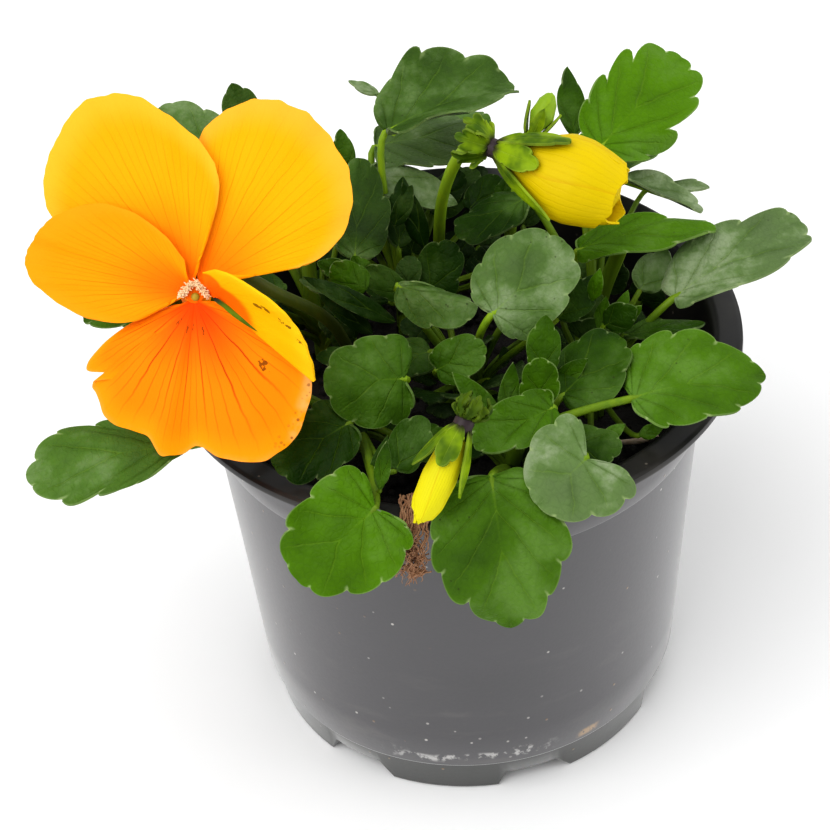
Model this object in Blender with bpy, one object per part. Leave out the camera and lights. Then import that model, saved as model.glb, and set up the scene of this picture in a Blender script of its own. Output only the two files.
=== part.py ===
"""A potted horned violet: a footed nursery pot, its soil, seven leafy shoots, an open bloom, three
buds and a little litter. Lengths are in millimetres until mesh_object turns them into metres."""
import math

import bmesh
import bpy
import numpy as np

MM = 0.001

# Pot
POT_HEIGHT = 70.0
LIP_RADIUS = 45.0
LIP_WIDTH = 4.0
BODY_TOP_RADIUS = 38.9
BODY_FOOT_RADIUS = 35.4
COLLAR_HEIGHT = 12.0
WALL = 1.5
FLOOR_UNDER = 3.0
FLOOR_TOP = 4.6
FEET = 7
FOOT_TURN = -11.0
FOOT_SHARE = 0.64
POT_SEGMENTS = 42
PAD_RADIUS = 7.0
DRAIN_RADIUS = 2.6
DRAIN_RING = 23.0

# Soil and the play left round whatever stands in it
SOIL_LEVEL = 58.0
SOIL_BUMP = 1.0
GAP = 0.3
HOLE_FLOOR = 40.0

# Plant
BLADE = 0.7
PETIOLE_RADIUS = 0.9
MIDRIB_END = 0.16
STALK_RADIUS = 0.95

# Half outlines of blades as the two inner handles of one cubic: along, then across, as shares
# of the length and of the width
ROUND = (-0.34, 0.74, 1.10, 0.66)
BROAD = (-0.14, 0.70, 1.04, 0.62)
OVATE = (0.00, 0.66, 0.80, 0.60)
KIDNEY = (-0.50, 0.86, 1.10, 0.74)
HEART = (-0.85, 0.84, 1.10, 0.66)
EGG = (-0.16, 0.78, 0.92, 0.52)
PADDLE = (0.10, 0.52, 0.98, 0.76)
LANCE = (0.18, 0.62, 0.66, 0.56)

VIEWER = (0.0, -0.76, 0.65)


def unit(vector):
    vector = np.asarray(vector, float)
    return vector / np.linalg.norm(vector)


def clear_scene():
    for obj in list(bpy.data.objects):
        bpy.data.objects.remove(obj, do_unlink=True)


def material(name, color, roughness, metallic=0.0):
    made = bpy.data.materials.new(name)
    made.use_nodes = True
    shader = made.node_tree.nodes["Principled BSDF"]
    shader.inputs["Base Color"].default_value = (*color, 1.0)
    shader.inputs["Roughness"].default_value = roughness
    shader.inputs["Metallic"].default_value = metallic
    return made


def mesh_object(name, points, faces, skin=None, smooth=True):
    mesh = bpy.data.meshes.new(name)
    mesh.from_pydata((np.asarray(points) * MM).tolist(), [], [list(map(int, f)) for f in faces])
    mesh.update()
    if smooth:
        mesh.shade_smooth()
    obj = bpy.data.objects.new(name, mesh)
    bpy.context.scene.collection.objects.link(obj)
    if skin:
        mesh.materials.append(skin)
    return obj


def fuse(name, pieces, skin):
    """Joins the pieces, each a closed (points, faces), into one object."""
    base = mesh_object(name, *pieces[0], skin=skin)
    if len(pieces) == 1:
        return base
    bunch = bpy.data.collections.new(name + "_pieces")
    bpy.context.scene.collection.children.link(bunch)
    for i, piece in enumerate(pieces[1:]):
        obj = mesh_object(f"{name}_{i}", *piece, skin=skin)
        bpy.context.scene.collection.objects.unlink(obj)
        bunch.objects.link(obj)
    union = base.modifiers.new("Join", "BOOLEAN")
    union.operation = "UNION"
    union.operand_type = "COLLECTION"
    union.collection = bunch
    union.solver = "MANIFOLD"
    bpy.context.view_layer.update()
    graph = bpy.context.evaluated_depsgraph_get()
    joined = bpy.data.meshes.new_from_object(base.evaluated_get(graph))
    base.modifiers.clear()
    base.data = joined
    base.data.shade_smooth()
    for obj in list(bunch.objects):
        bpy.data.objects.remove(obj, do_unlink=True)
    bpy.data.collections.remove(bunch)
    drop_scrap(base)
    return base


def drop_scrap(obj):
    """Keeps only the largest connected piece of a joined mesh, with no loose points or edges."""
    work = bmesh.new()
    work.from_mesh(obj.data)
    left = set(work.faces)
    groups = []
    while left:
        start = left.pop()
        group = [start]
        stack = [start]
        while stack:
            for edge in stack.pop().edges:
                for face in edge.link_faces:
                    if face in left:
                        left.discard(face)
                        group.append(face)
                        stack.append(face)
        groups.append(group)
    groups.sort(key=len)
    for group in groups[:-1]:
        bmesh.ops.delete(work, geom=group, context="FACES")
    loose = [v for v in work.verts if not v.link_faces]
    bmesh.ops.delete(work, geom=loose, context="VERTS")
    work.to_mesh(obj.data)
    work.free()


# Round bodies


def lathe(profile, segments, shift=None):
    """Turns a closed profile of (radius, height) that starts and ends on the axis."""
    points = [(0.0, 0.0, profile[0][1])]
    for radius, height in profile[1:-1]:
        for k in range(segments):
            angle = math.tau * k / segments
            r, z = shift(radius, height, angle) if shift else (radius, height)
            points.append((r * math.cos(angle), r * math.sin(angle), z))
    points.append((0.0, 0.0, profile[-1][1]))
    last = len(points) - 1
    rings = len(profile) - 2
    faces = []
    for k in range(segments):
        after = (k + 1) % segments
        faces.append((0, 1 + after, 1 + k))
        for ring in range(rings - 1):
            a, b = 1 + ring * segments + k, 1 + ring * segments + after
            faces.append((a, b, b + segments, a + segments))
        top = 1 + (rings - 1) * segments
        faces.append((top + k, top + after, last))
    return points, faces


def bezier(controls, t):
    a, b, c, d = (np.asarray(p, float) for p in controls)
    s = 1 - t
    return a * s**3 + 3 * b * s * s * t + 3 * c * s * t * t + d * t**3


def smooth_path(knots, steps):
    """A curve through every knot, with steps pieces between neighbours."""
    knots = [np.asarray(k, float) for k in knots]
    ends = [2 * knots[0] - knots[1], *knots, 2 * knots[-1] - knots[-2]]
    path = []
    for i in range(1, len(ends) - 2):
        before, start, end, after = ends[i - 1:i + 3]
        handles = (start, start + (end - before) / 6, end - (after - start) / 6, end)
        path += [bezier(handles, k / steps) for k in range(steps)]
    return [*path, knots[-1]]


def tube(path, radii, sides=6):
    """A closed round bar along a path, with a radius for each point."""
    path = np.asarray(path, float)
    ahead = np.gradient(path, axis=0)
    side = unit(np.cross(ahead[0], (0.3, 0.9, 0.2)))
    points = []
    for centre, along, radius in zip(path, ahead, radii):
        along = unit(along)
        side = unit(side - along * (side @ along))
        other = np.cross(along, side)
        for k in range(sides):
            angle = math.tau * k / sides
            points.append(centre + radius * (side * math.cos(angle) + other * math.sin(angle)))
    count = len(path)
    faces = []
    for i in range(count - 1):
        for k in range(sides):
            a, b = i * sides + k, i * sides + (k + 1) % sides
            faces += [(a, b, b + sides), (a, b + sides, a + sides)]
    start, end = len(points), len(points) + 1
    points += [path[0] - unit(ahead[0]) * radii[0] * 0.3, path[-1] + unit(ahead[-1]) * radii[-1] * 0.6]
    for k in range(sides):
        after = (k + 1) % sides
        faces.append((start, after, k))
        faces.append((end, (count - 1) * sides + k, (count - 1) * sides + after))
    return np.array(points), faces


# Thin blades


def thickened(points, faces, rim, thickness):
    """Gives an open sheet two like faces and an edge."""
    points = np.asarray(points, float)
    faces = np.asarray(faces, int)
    normals = np.zeros_like(points)
    corners = points[faces]
    across = np.cross(corners[:, 1] - corners[:, 0], corners[:, 2] - corners[:, 0])
    for k in range(3):
        np.add.at(normals, faces[:, k], across)
    normals /= np.linalg.norm(normals, axis=1)[:, None]
    half = normals * thickness / 2
    count = len(points)
    both = np.vstack([points + half, points - half])
    skin = [tuple(f) for f in faces]
    skin += [tuple(f[::-1] + count) for f in faces]
    for a, b in zip(rim, rim[1:] + rim[:1]):
        skin += [(a, b, b + count), (a, b + count, a + count)]
    return both, skin


def half_outline(shape, t):
    handle_a, handle_b, tip_a, tip_b = shape
    curve = bezier(((0, 0, 0), (handle_a, handle_b, 0), (tip_a, tip_b, 0), (1, 0, 0)), t)
    return curve[0], curve[1]


class Blade:
    """The mid surface of a leaf, from its foot to its tip."""

    def __init__(self, foot, tip, width, face, arch=0.0, cup=0.0, fold=0.0, wave=0.0, lean=1.0):
        self.foot = np.asarray(foot, float)
        run = np.asarray(tip, float) - self.foot
        self.length = np.linalg.norm(run)
        self.along = unit(run)
        face = np.asarray(face, float)
        self.up = unit(face - self.along * (face @ self.along))
        self.side = np.cross(self.along, self.up)
        self.width = width
        self.arch = arch
        self.cup = cup
        self.fold = fold
        self.wave = wave
        self.lean = lean

    def at(self, along, across):
        """The point at shares of the length and of the width, which runs from -0.5 to 0.5."""
        share = abs(2 * across)
        if across < 0:
            across *= self.lean
        lift = 4 * self.arch * along * (1 - along)
        lift -= self.cup * share * share
        lift -= self.fold * (math.sqrt(share * share + 0.02) - 0.14)
        lift += self.wave * math.sin(9 * along + 3 * across) * share * share
        return (self.foot + self.along * along * self.length + self.up * lift
                + self.side * across * self.width)


def blade_sheet(blade, shape, teeth, notch, rows, thickness):
    """A crenate blade: each tooth has a crest and a notch on the margin."""
    turns = teeth + 0.5 if teeth else 2.0
    stations = int(round(2 * turns))
    points = []
    grid = {}
    for i in range(stations + 1):
        t = i / stations
        vein = t**1.5
        grid[0, i, 0] = len(points)
        points.append(blade.at(vein, 0.0))
        if i in (0, stations):
            continue
        along, across = half_outline(shape, t)
        if teeth and i % 2 == 0:
            along = vein + (along - vein) * (1 - notch)
            across *= 1 - notch
        for side in (1, -1):
            for row in range(1, rows + 1):
                share = row / rows
                grid[side, i, row] = len(points)
                points.append(blade.at(vein + (along - vein) * share, side * across * share))

    def corner(side, i, row):
        return grid[0, i, 0] if row == 0 or i in (0, stations) else grid[side, i, row]

    faces = []
    for side in (1, -1):
        for i in range(stations):
            for row in range(rows):
                a, b = corner(side, i, row), corner(side, i + 1, row)
                c, d = corner(side, i + 1, row + 1), corner(side, i, row + 1)
                for face in ((a, b, c), (a, c, d)):
                    if len(set(face)) == 3:
                        faces.append(face[::-side] if side < 0 else face[::-1])
    right = [corner(1, i, rows) for i in range(1, stations)]
    left = [corner(-1, i, rows) for i in range(1, stations)]
    rim = [corner(0, 0, 0), *right, corner(0, stations, 0), *left[::-1]]
    return thickened(points, [f[::-1] for f in faces], rim, thickness)


def petiole(blade, start, climb, radius):
    """The leaf stalk, which runs on under the blade as its midrib."""
    start = np.asarray(start, float)
    reach = np.linalg.norm(blade.foot - start)
    lead = blade.at(0.12, 0) - blade.at(0.0, 0)
    handles = (start, start + np.array([0, 0, climb * reach]),
               blade.foot - unit(lead) * reach * 0.12, blade.foot - blade.up * 0.15)
    path = [bezier(handles, t) for t in (0.0, 0.5, 0.95)]
    path.append(blade.at(MIDRIB_END, 0) - blade.up * 0.2)
    return tube(path, [radius, radius, radius, radius * 0.6], 4)


# Leaves as (foot, tip, width, face, shape, teeth, options); the face is the way that a blade looks

SHOOTS = {
    "shoot_left": {
        "stem": [(-16, -13, HOLE_FLOOR + 1), (-16, -13, 60), (-18, -17, 68), (-17, -22, 75)],
        "leaves": [
            ((-39.5, -32.5, 77.5), (-63, -33, 74.5), 13.5, (-0.1, -0.4, 1), PADDLE, 5,
             {"arch": 1.5, "wave": 0.5}),
            ((-13.4, -46.5, 75.4), (-25, -50, 66.6), 15, (-0.1, -0.76, 0.6), HEART, 5,
             {"arch": 1.0, "wave": 0.5}),
            ((-16.5, -29, 76.5), (-27.5, -33, 72.5), 10, (0, -0.6, 0.8), ROUND, 4, {}),
            ((-8.2, -26, 81.6), (-19.5, -27, 82.8), 12.2, VIEWER, HEART, 4, {"cup": 1.0, "wave": 0.4}),
            ((-10, -39, 76), (-5.5, -33, 80), 6, (0, -0.7, 0.7), BROAD, 2, {}),
            ((-12.5, -43, 76), (-11, -41, 83), 2.6, VIEWER, LANCE, 0, {}),
            ((-14.5, -13, 76), (-21, -14, 77), 4.5, (0, -0.3, 1), OVATE, 2, {}),
            ((-9, -28, 72), (-2, -34, 74), 7, (0, -0.3, 1), ROUND, 3, {}),
            ((-24, -18, 72), (-33, -23, 73), 8, (0, -0.3, 1), ROUND, 3, {}),
        ],
    },
    "shoot_back": {
        "stem": [(-7, 16, HOLE_FLOOR + 1), (-7, 16, 60), (-8, 20, 70), (-8, 23, 79)],
        "leaves": [
            ((-8, 25, 91), (12.5, 33.5, 94), 16.5, (0, 0, 1), BROAD, 5,
             {"arch": 0.8, "cup": -2.2, "fold": -2.0, "wave": 0.3}),
            ((-8, 33, 83), (8, 33, 83), 14, (0, -0.1, 1), BROAD, 5, {"arch": 1.0}),
            ((-10.5, 25, 79), (-0.5, 27, 80), 7, (0, 0.3, 1), OVATE, 3, {}),
            ((-7.5, 14, 76), (-6, 22, 84), 5, VIEWER, OVATE, 2, {}),
            ((-9, 41, 85), (-13.5, 46.5, 88), 3.4, (0, -0.3, 1), LANCE, 2, {}),
            ((3, 39, 77), (4, 57, 73), 13, (0, 0.4, 1), ROUND, 4, {"arch": 1.2}),
            ((-2, 25, 75), (6, 33, 77), 8, (0, 0, 1), ROUND, 3, {}),
        ],
    },
    "shoot_back_right": {
        "stem": [(23, 7, HOLE_FLOOR + 1), (23, 7, 60), (24, 5.5, 70), (27, 4.5, 80)],
        "leaves": [
            ((25.5, 21.5, 87), (41, 37.5, 93), 16, (0.2, -0.5, 0.9), BROAD, 5, {"arch": 1.0, "wave": 0.5}),
            ((22, 27, 86), (22, 38.5, 92), 5.5, (0.3, -0.6, 0.8), LANCE, 2, {}),
            ((28.9, 20, 82), (40.9, 13.5, 79), 7, (0.1, 0.35, 1), BROAD, 3, {"cup": -1.6}),
            ((34, 24, 77), (43, 20, 79), 5, (0, 0.2, 1), OVATE, 2, {}),
            ((13, 17, 81.5), (1.8, 13, 78), 9.5, (0, -0.1, 1), BROAD, 4, {}),
            ((20, 1.5, 82), (41, 1.5, 84), 10, (0, 0.1, 1), BROAD, 4, {"arch": 1.5}),
            ((25, 31, 76), (37, 46, 74), 13, (0.1, 0.4, 1), ROUND, 4, {"arch": 1.2}),
        ],
    },
    "shoot_right": {
        "stem": [(21, -9, HOLE_FLOOR + 1), (21, -9, 60), (22, -12, 68), (23, -14, 73)],
        "leaves": [
            ((24.5, -29, 77.4), (44.5, -24.5, 76), 14, (0, -0.25, 1), EGG, 5,
             {"arch": 1.2, "wave": 0.5, "lean": 1.4}),
            ((33.5, -8, 79), (55, 3.5, 83), 12.5, (0, -0.05, 1), BROAD, 4, {"arch": 1.0, "cup": -0.6}),
            ((22.5, -12.5, 78), (27, -14, 82), 5, VIEWER, OVATE, 2, {}),
            ((25.5, -11.5, 75), (37.5, -12.5, 77), 7, (0, 0.3, 1), OVATE, 3, {}),
            ((29, -3, 77), (33.5, 0, 82), 6, VIEWER, OVATE, 2, {}),
            ((19.5, -33, 73), (23, -33, 76), 2.4, VIEWER, LANCE, 0, {}),
            ((25.5, -30, 71), (29, -30.5, 73), 2.4, VIEWER, LANCE, 0, {}),
            ((29, -15, 72), (37, -20, 73), 7, (0, -0.2, 1), ROUND, 3, {}),
        ],
    },
    "shoot_middle": {
        "stem": [(2, -7, HOLE_FLOOR + 1), (2, -7, 60), (3, -10, 70), (3, -13, 76)],
        "leaves": [
            ((5.5, -18, 86), (17, -11, 92.5), 13.8, VIEWER, ROUND, 4, {"cup": 1.2}),
            ((15.5, -12.5, 80), (22, -8, 84), 5.5, VIEWER, OVATE, 2, {}),
            ((-7.8, -9, 85.5), (3.5, -14, 84.2), 10, (0, -0.65, 0.76), BROAD, 3, {"arch": 0.6, "lean": 0.5}),
            ((-4.2, -2, 77), (0.7, 2, 85), 8, VIEWER, BROAD, 3, {}),
            ((-3, -20, 78), (4, -20, 82), 6.5, VIEWER, ROUND, 3, {}),
            ((-4, -12, 75), (-12, -17, 77), 7.5, (0, -0.3, 1), ROUND, 3, {}),
            ((8, -6, 75), (14, -1, 77), 7, (0, -0.3, 1), ROUND, 3, {}),
            ((-7.2, -5.5, 81), (-12.6, -4.5, 86), 4.5, VIEWER, BROAD, 2, {}),
        ],
    },
    "shoot_front": {
        "stem": [(7, -27, HOLE_FLOOR + 1), (7, -27, 60), (7, -30, 68), (8, -33, 75)],
        "leaves": [
            ((3, -45.5, 79), (4.5, -54, 58), 20, (0, -0.9, 0.5), EGG, 6, {"arch": 2.2, "wave": 0.5}),
            ((16.6, -43, 79.5), (9, -49, 77), 12, VIEWER, KIDNEY, 4, {"cup": 0.8, "lean": 1.35}),
            ((12.6, -33, 80), (1, -41, 81), 8, VIEWER, ROUND, 4, {"cup": -0.8, "lean": 0.8}),
            ((12, -25, 80), (13, -20.5, 87), 5.5, VIEWER, OVATE, 2, {}),
            ((14.5, -28, 78), (24, -19.5, 81), 10.5, (0, -0.3, 1), ROUND, 4, {}),
            ((13.5, -24.5, 77), (18.5, -25, 82), 3.2, VIEWER, LANCE, 0, {}),
            ((6, -31.5, 77), (7.5, -29.5, 86), 3.4, VIEWER, LANCE, 0, {}),
            ((5, -32.5, 78), (-1.2, -31.5, 86.6), 3.8, VIEWER, LANCE, 0, {}),
            ((14, -34, 74), (22, -37, 75), 7, (0, -0.3, 1), ROUND, 3, {}),
            ((11, -31, 79.5), (11.2, -29, 86), 5.5, VIEWER, ROUND, 3, {"cup": -0.4}),
        ],
    },
    "shoot_left_back": {
        "stem": [(-21, 11, HOLE_FLOOR + 1), (-21, 11, 60), (-22, 12, 68), (-22, 14, 75)],
        "leaves": [
            ((-14.4, 6.5, 80), (-12.6, 23.5, 87), 10.5, (0.3, -0.7, 0.7), BROAD, 4, {}),
            ((-15, 23.5, 84), (-15.5, 28, 90), 4, VIEWER, OVATE, 2, {}),
            ((-15.5, -2, 79), (-23, 0.5, 81), 3.5, (0, 0, 1), OVATE, 2, {}),
            ((-15, 2, 80), (-20, 0.5, 84), 3.5, VIEWER, OVATE, 2, {}),
            ((-35, 30, 84), (-45, 40, 89), 12, (0, -0.3, 1), ROUND, 4, {}),
            ((-30, 34, 86), (-32.5, 36, 95), 7, VIEWER, OVATE, 3, {}),
            ((-38, 3, 77), (-57, 1.5, 75.5), 10, (0, -0.1, 1), BROAD, 4, {"arch": 1.5}),
            ((-30, 34, 76), (-38, 52, 73), 14, (-0.2, 0.4, 1), ROUND, 5, {"arch": 1.2}),
            ((-27, 7, 73), (-36, 11, 75), 8, (0, -0.2, 1), ROUND, 3, {}),
            ((-20, 22, 76), (-27, 33, 78), 9, (0, 0, 1), ROUND, 3, {}),
        ],
    },
}


def build_shoot(name, spec, skin):
    path = smooth_path(spec["stem"], 2)
    pieces = [tube(path, np.linspace(1.5, 1.2, len(path)), 6)]
    count = len(spec["leaves"])
    for i, (foot, tip, width, face, shape, teeth, options) in enumerate(spec["leaves"]):
        blade = Blade(foot, tip, width, face, **options)
        node = path[len(path) // 3 + (i * 5) % (len(path) - len(path) // 3)]
        small = width < 7
        thickness = 0.6 if small else BLADE
        rows = 1 if width < 15 else 2
        pieces.append(blade_sheet(blade, shape, teeth, 0.09, rows, thickness))
        pieces.append(petiole(blade, node, 0.25, PETIOLE_RADIUS * (0.75 if small else 1.0)))
    return fuse(name, pieces, skin)


# Pot and soil


def foot_height(angle):
    """0 under a foot and 1 over the notch between two feet."""
    turn = (math.degrees(angle) + 90 - FOOT_TURN) * FEET / 360
    off = abs(turn - round(turn)) * 2
    return min(max((off - FOOT_SHARE) * 7 + 0.5, 0.0), 1.0)


def build_pot(skin):
    collar_low = POT_HEIGHT - COLLAR_HEIGHT
    notch_top = FLOOR_UNDER - 0.2
    profile = [
        (0, 0),
        (PAD_RADIUS, 0),
        (PAD_RADIUS + 0.6, FLOOR_UNDER),
        (30.4, FLOOR_UNDER),
        (30.6, 0),
        (33.8, 0),
        (34.6, 6.6),
        (BODY_FOOT_RADIUS, 7.4),
        (BODY_TOP_RADIUS, collar_low),
        (BODY_TOP_RADIUS + 0.7, collar_low + 0.4),
        (40.6, POT_HEIGHT - 2.0),
        (LIP_RADIUS - 0.5, POT_HEIGHT - 1.6),
        (LIP_RADIUS, POT_HEIGHT - 0.9),
        (LIP_RADIUS - 0.4, POT_HEIGHT),
        (LIP_RADIUS - LIP_WIDTH, POT_HEIGHT - 0.2),
        (LIP_RADIUS - LIP_WIDTH - 1.2, POT_HEIGHT - 1.8),
        (BODY_TOP_RADIUS - WALL, collar_low - 1.5),
        (BODY_FOOT_RADIUS - WALL, FLOOR_TOP + 1.5),
        (BODY_FOOT_RADIUS - WALL - 1.5, FLOOR_TOP),
        (0, FLOOR_TOP),
    ]

    def feet(radius, height, angle):
        if height == 0 and radius > PAD_RADIUS:
            height = notch_top * foot_height(angle)
        return radius, height

    points, faces = lathe(profile, POT_SEGMENTS, feet)
    pot = mesh_object("pot", points, faces, skin)
    drains = bpy.data.collections.new("drains")
    bpy.context.scene.collection.children.link(drains)
    drains.hide_render = True
    for k in range(FEET):
        angle = math.tau * (k + 0.5) / FEET
        at = np.array([math.cos(angle), math.sin(angle), 0]) * DRAIN_RING
        path = [at + (0, 0, -1), at + (0, 0, FLOOR_TOP + 2)]
        cutter = mesh_object(f"drain_{k}", *tube(path, [DRAIN_RADIUS] * 2, 8), smooth=False)
        bpy.context.scene.collection.objects.unlink(cutter)
        drains.objects.link(cutter)
        cutter.hide_render = True
        cutter.display_type = "WIRE"
    cut = pot.modifiers.new("Drain holes", "BOOLEAN")
    cut.operation = "DIFFERENCE"
    cut.operand_type = "COLLECTION"
    cut.collection = drains
    cut.solver = "EXACT"
    return pot


def ground(x, y):
    """The level of the crumbly soil."""
    phase = np.random.default_rng(7).uniform(0, math.tau, (6, 2))
    bumps = sum(math.sin(x * (0.19 + 0.07 * i) + p) * math.cos(y * (0.23 + 0.06 * i) + q)
                for i, (p, q) in enumerate(phase))
    return SOIL_LEVEL + 0.45 * SOIL_BUMP * bumps


def build_soil(skin, holes):
    inner_low = BODY_FOOT_RADIUS - WALL - GAP
    inner_top = BODY_TOP_RADIUS - WALL - GAP
    segments = 24
    bottom = FLOOR_TOP + GAP
    profile = [
        (0, bottom),
        (inner_low - 1.6, bottom),
        (inner_low, bottom + 1.6),
        (inner_top - 0.1, SOIL_LEVEL - 2.0),
        (inner_top - 1.2, 0),
        (27, 0),
        (17, 0),
        (7, 0),
        (0, SOIL_LEVEL),
    ]

    def bumpy(radius, height, angle):
        return radius, height if height else ground(radius * math.cos(angle), radius * math.sin(angle))

    soil = mesh_object("soil", *lathe(profile, segments, bumpy), skin=skin)
    bunch = bpy.data.collections.new("stem_holes")
    bpy.context.scene.collection.children.link(bunch)
    bunch.hide_render = True
    for k, (x, y, low, radius) in enumerate(holes):
        path = [(x, y, low), (x, y, SOIL_LEVEL + 6)]
        cutter = mesh_object(f"hole_{k}", *tube(path, [radius] * 2, 8), smooth=False)
        bpy.context.scene.collection.objects.unlink(cutter)
        bunch.objects.link(cutter)
        cutter.hide_render = True
        cutter.display_type = "WIRE"
    cut = soil.modifiers.new("Stem holes", "BOOLEAN")
    cut.operation = "DIFFERENCE"
    cut.operand_type = "COLLECTION"
    cut.collection = bunch
    cut.solver = "EXACT"
    return soil


# Bloom and buds

BLOOM_CENTRE = np.array([-36.5, -22.0, 96.0])
BLOOM_TURN = math.radians(-4.2)
PETALS = {
    # petal: claw, then the outline, as right, up and forward of the throat
    "upper_right": ((0.5, 1.5, -1.5), [
        (-1, 9, -2.6), (-1, 17, -3.4), (1, 24, -4), (6, 27.8, -4.4), (12, 28, -4.2), (17.5, 24.5, -3.6),
        (21.5, 18, -2.8), (21.5, 10.5, -2.0), (17, 5.2, -1.8), (11, 3.8, -1.6), (5, 3.2, -1.4)]),
    "upper_left": ((-0.5, 1.5, -0.6), [
        (-5, 3, -1.0), (-13, 6, -1.8), (-20.5, 11.5, -2.4), (-21.6, 17, -2.2), (-19.6, 23, -2.0),
        (-15, 28, -1.8), (-9, 28.5, -1.6), (-3, 25, -1.4), (2, 20, -1.2), (3.2, 15, -1.0), (1.5, 8, -0.8)]),
    "left": ((-0.5, 0.6, 0.2), [
        (-1.5, 5, 0.9), (-4.5, 8.8, 1.2), (-9, 11.8, 1.0), (-14.5, 13.0, 0.6), (-20.3, 10.8, 0.2),
        (-22.6, 8, 0.2), (-24, 5, 0.2), (-21.8, 1, 0.6), (-16, -2.7, 1.2), (-9.5, -3.8, 1.6),
        (-4, -1.4, 1.0)]),
    "lower": ((0.0, -0.6, 0.2), [
        (-4.4, -1.8, -0.2), (-9, -3.9, -0.4), (-13, -6.9, -0.4), (-15.2, -10.3, 0), (-11.2, -10.8, 0.2),
        (-11.0, -11.5, 0.2), (-14.2, -12.2, 0.2), (-13.6, -14.4, 0.6), (-11.6, -17.8, 1.2),
        (-7, -19.4, 1.0), (-4.8, -22.2, 1.4), (-2.2, -22.2, 0.8), (0.8, -21.2, 0.8), (4.8, -23, 1.6),
        (10.5, -22.8, 1.8), (14.4, -19.6, 1.2), (16.4, -13.5, 0.8), (15, -9.6, 0.4), (9.6, -4.9, 0),
        (3, -0.9, 0)]),
    "right": ((0.8, 0.4, 0.4), [
        (3.9, 1.0, 1.8), (7.5, -2.6, 2.4), (11.5, -6.6, 2.8), (15.4, -10.4, 3.4), (17.0, -11.9, 5.2),
        (16.4, -8.2, 7.6), (14.7, -4.8, 9.0), (12, -1.8, 9.4), (7.3, 1.5, 8.6), (3.6, 3.2, 6.2),
        (1.5, 3.2, 3.0)]),
}
SEPAL_TURNS = (90, 20, 160, -48, -132)


def bloom_axes():
    """Right, up and forward of the open flower, which faces the viewer and the sky."""
    forward = unit(VIEWER)
    right, up = np.array([1.0, 0, 0]), np.array([0, forward[2], -forward[1]])
    c, s = math.cos(BLOOM_TURN), math.sin(BLOOM_TURN)
    return np.array([c * right + s * up, c * up - s * right, forward])


def petal_sheet(claw, knots, axes, centre, steps, rows, bulge=0.5):
    claw = np.asarray(claw, float)
    edge = smooth_path(knots, steps)
    points = [centre + claw @ axes]
    for stop in edge:
        for row in range(1, rows + 1):
            share = row / rows
            lift = (0, 0, bulge * math.sin(math.pi * share))
            points.append(centre + (claw + (stop - claw) * share + lift) @ axes)
    faces = []
    for i in range(len(edge) - 1):
        a, b = 1 + i * rows, 1 + (i + 1) * rows
        faces.append((0, b, a))
        for row in range(rows - 1):
            faces += [(a + row, b + row + 1, a + row + 1), (a + row, b + row, b + row + 1)]
    last = 1 + (len(edge) - 1) * rows
    rim = [0, *range(1, rows), *range(rows, last + rows, rows), *range(last + rows - 2, last - 1, -1)]
    return thickened(points, faces, rim, BLADE)


def build_bloom(skin):
    axes = bloom_axes()
    pieces = []
    for claw, knots in PETALS.values():
        steps = 2 if len(knots) < 15 else 1
        pieces.append(petal_sheet(claw, knots, axes, BLOOM_CENTRE, steps, 1))
    hub = [BLOOM_CENTRE + np.array(p) @ axes for p in ((0, 0.4, -3.4), (0, 0.4, -1.5), (0, 0.4, 0.6))]
    spur = [BLOOM_CENTRE + np.array(p) @ axes for p in ((0, -0.6, -1.5), (0, -2.6, -5), (0, -4.2, -8))]
    pieces.append(tube(hub, [1.6, 2.3, 2.0], 8))
    pieces.append(tube(spur, [1.6, 1.4, 1.0], 6))
    return fuse("bloom_petals", pieces, skin)


def build_bloom_stalk(skin):
    axes = bloom_axes()
    seat = [BLOOM_CENTRE + np.array(p) @ axes for p in ((0, 1.4, -4.9), (0, 1.4, -6.8))]
    pieces = [tube(seat, [1.9, 1.4], 8)]
    for turn in SEPAL_TURNS:
        angle = math.radians(turn)
        out = np.array([math.cos(angle), math.sin(angle), 0])
        foot = BLOOM_CENTRE + ((0, 1.4, -5.8) + out * 0.8) @ axes
        tip = BLOOM_CENTRE + ((0, 1.4, -5.4) + out * 8.5) @ axes
        pieces.append(blade_sheet(Blade(foot, tip, 3.4, axes[2]), LANCE, 0, 0, 1, 0.6))
    knots = [(-15, -3, HOLE_FLOOR + 1), (-15, -3, 60), (-18, -8, 78), (-26, -13, 89), (-33, -14, 95),
             BLOOM_CENTRE + np.array((0.4, 1.6, -6.4)) @ axes]
    path = smooth_path(knots, 2)
    pieces.append(tube(path, [STALK_RADIUS] * len(path), 5))
    return fuse("bloom_stalk", pieces, skin)


def bud_frame(neck, tip):
    """Along the bud, its side toward the viewer, and the third way round."""
    along = unit(np.subtract(tip, neck))
    near = np.asarray(VIEWER, float)
    near = unit(near - along * (near @ along))
    return along, near, np.cross(along, near)


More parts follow.
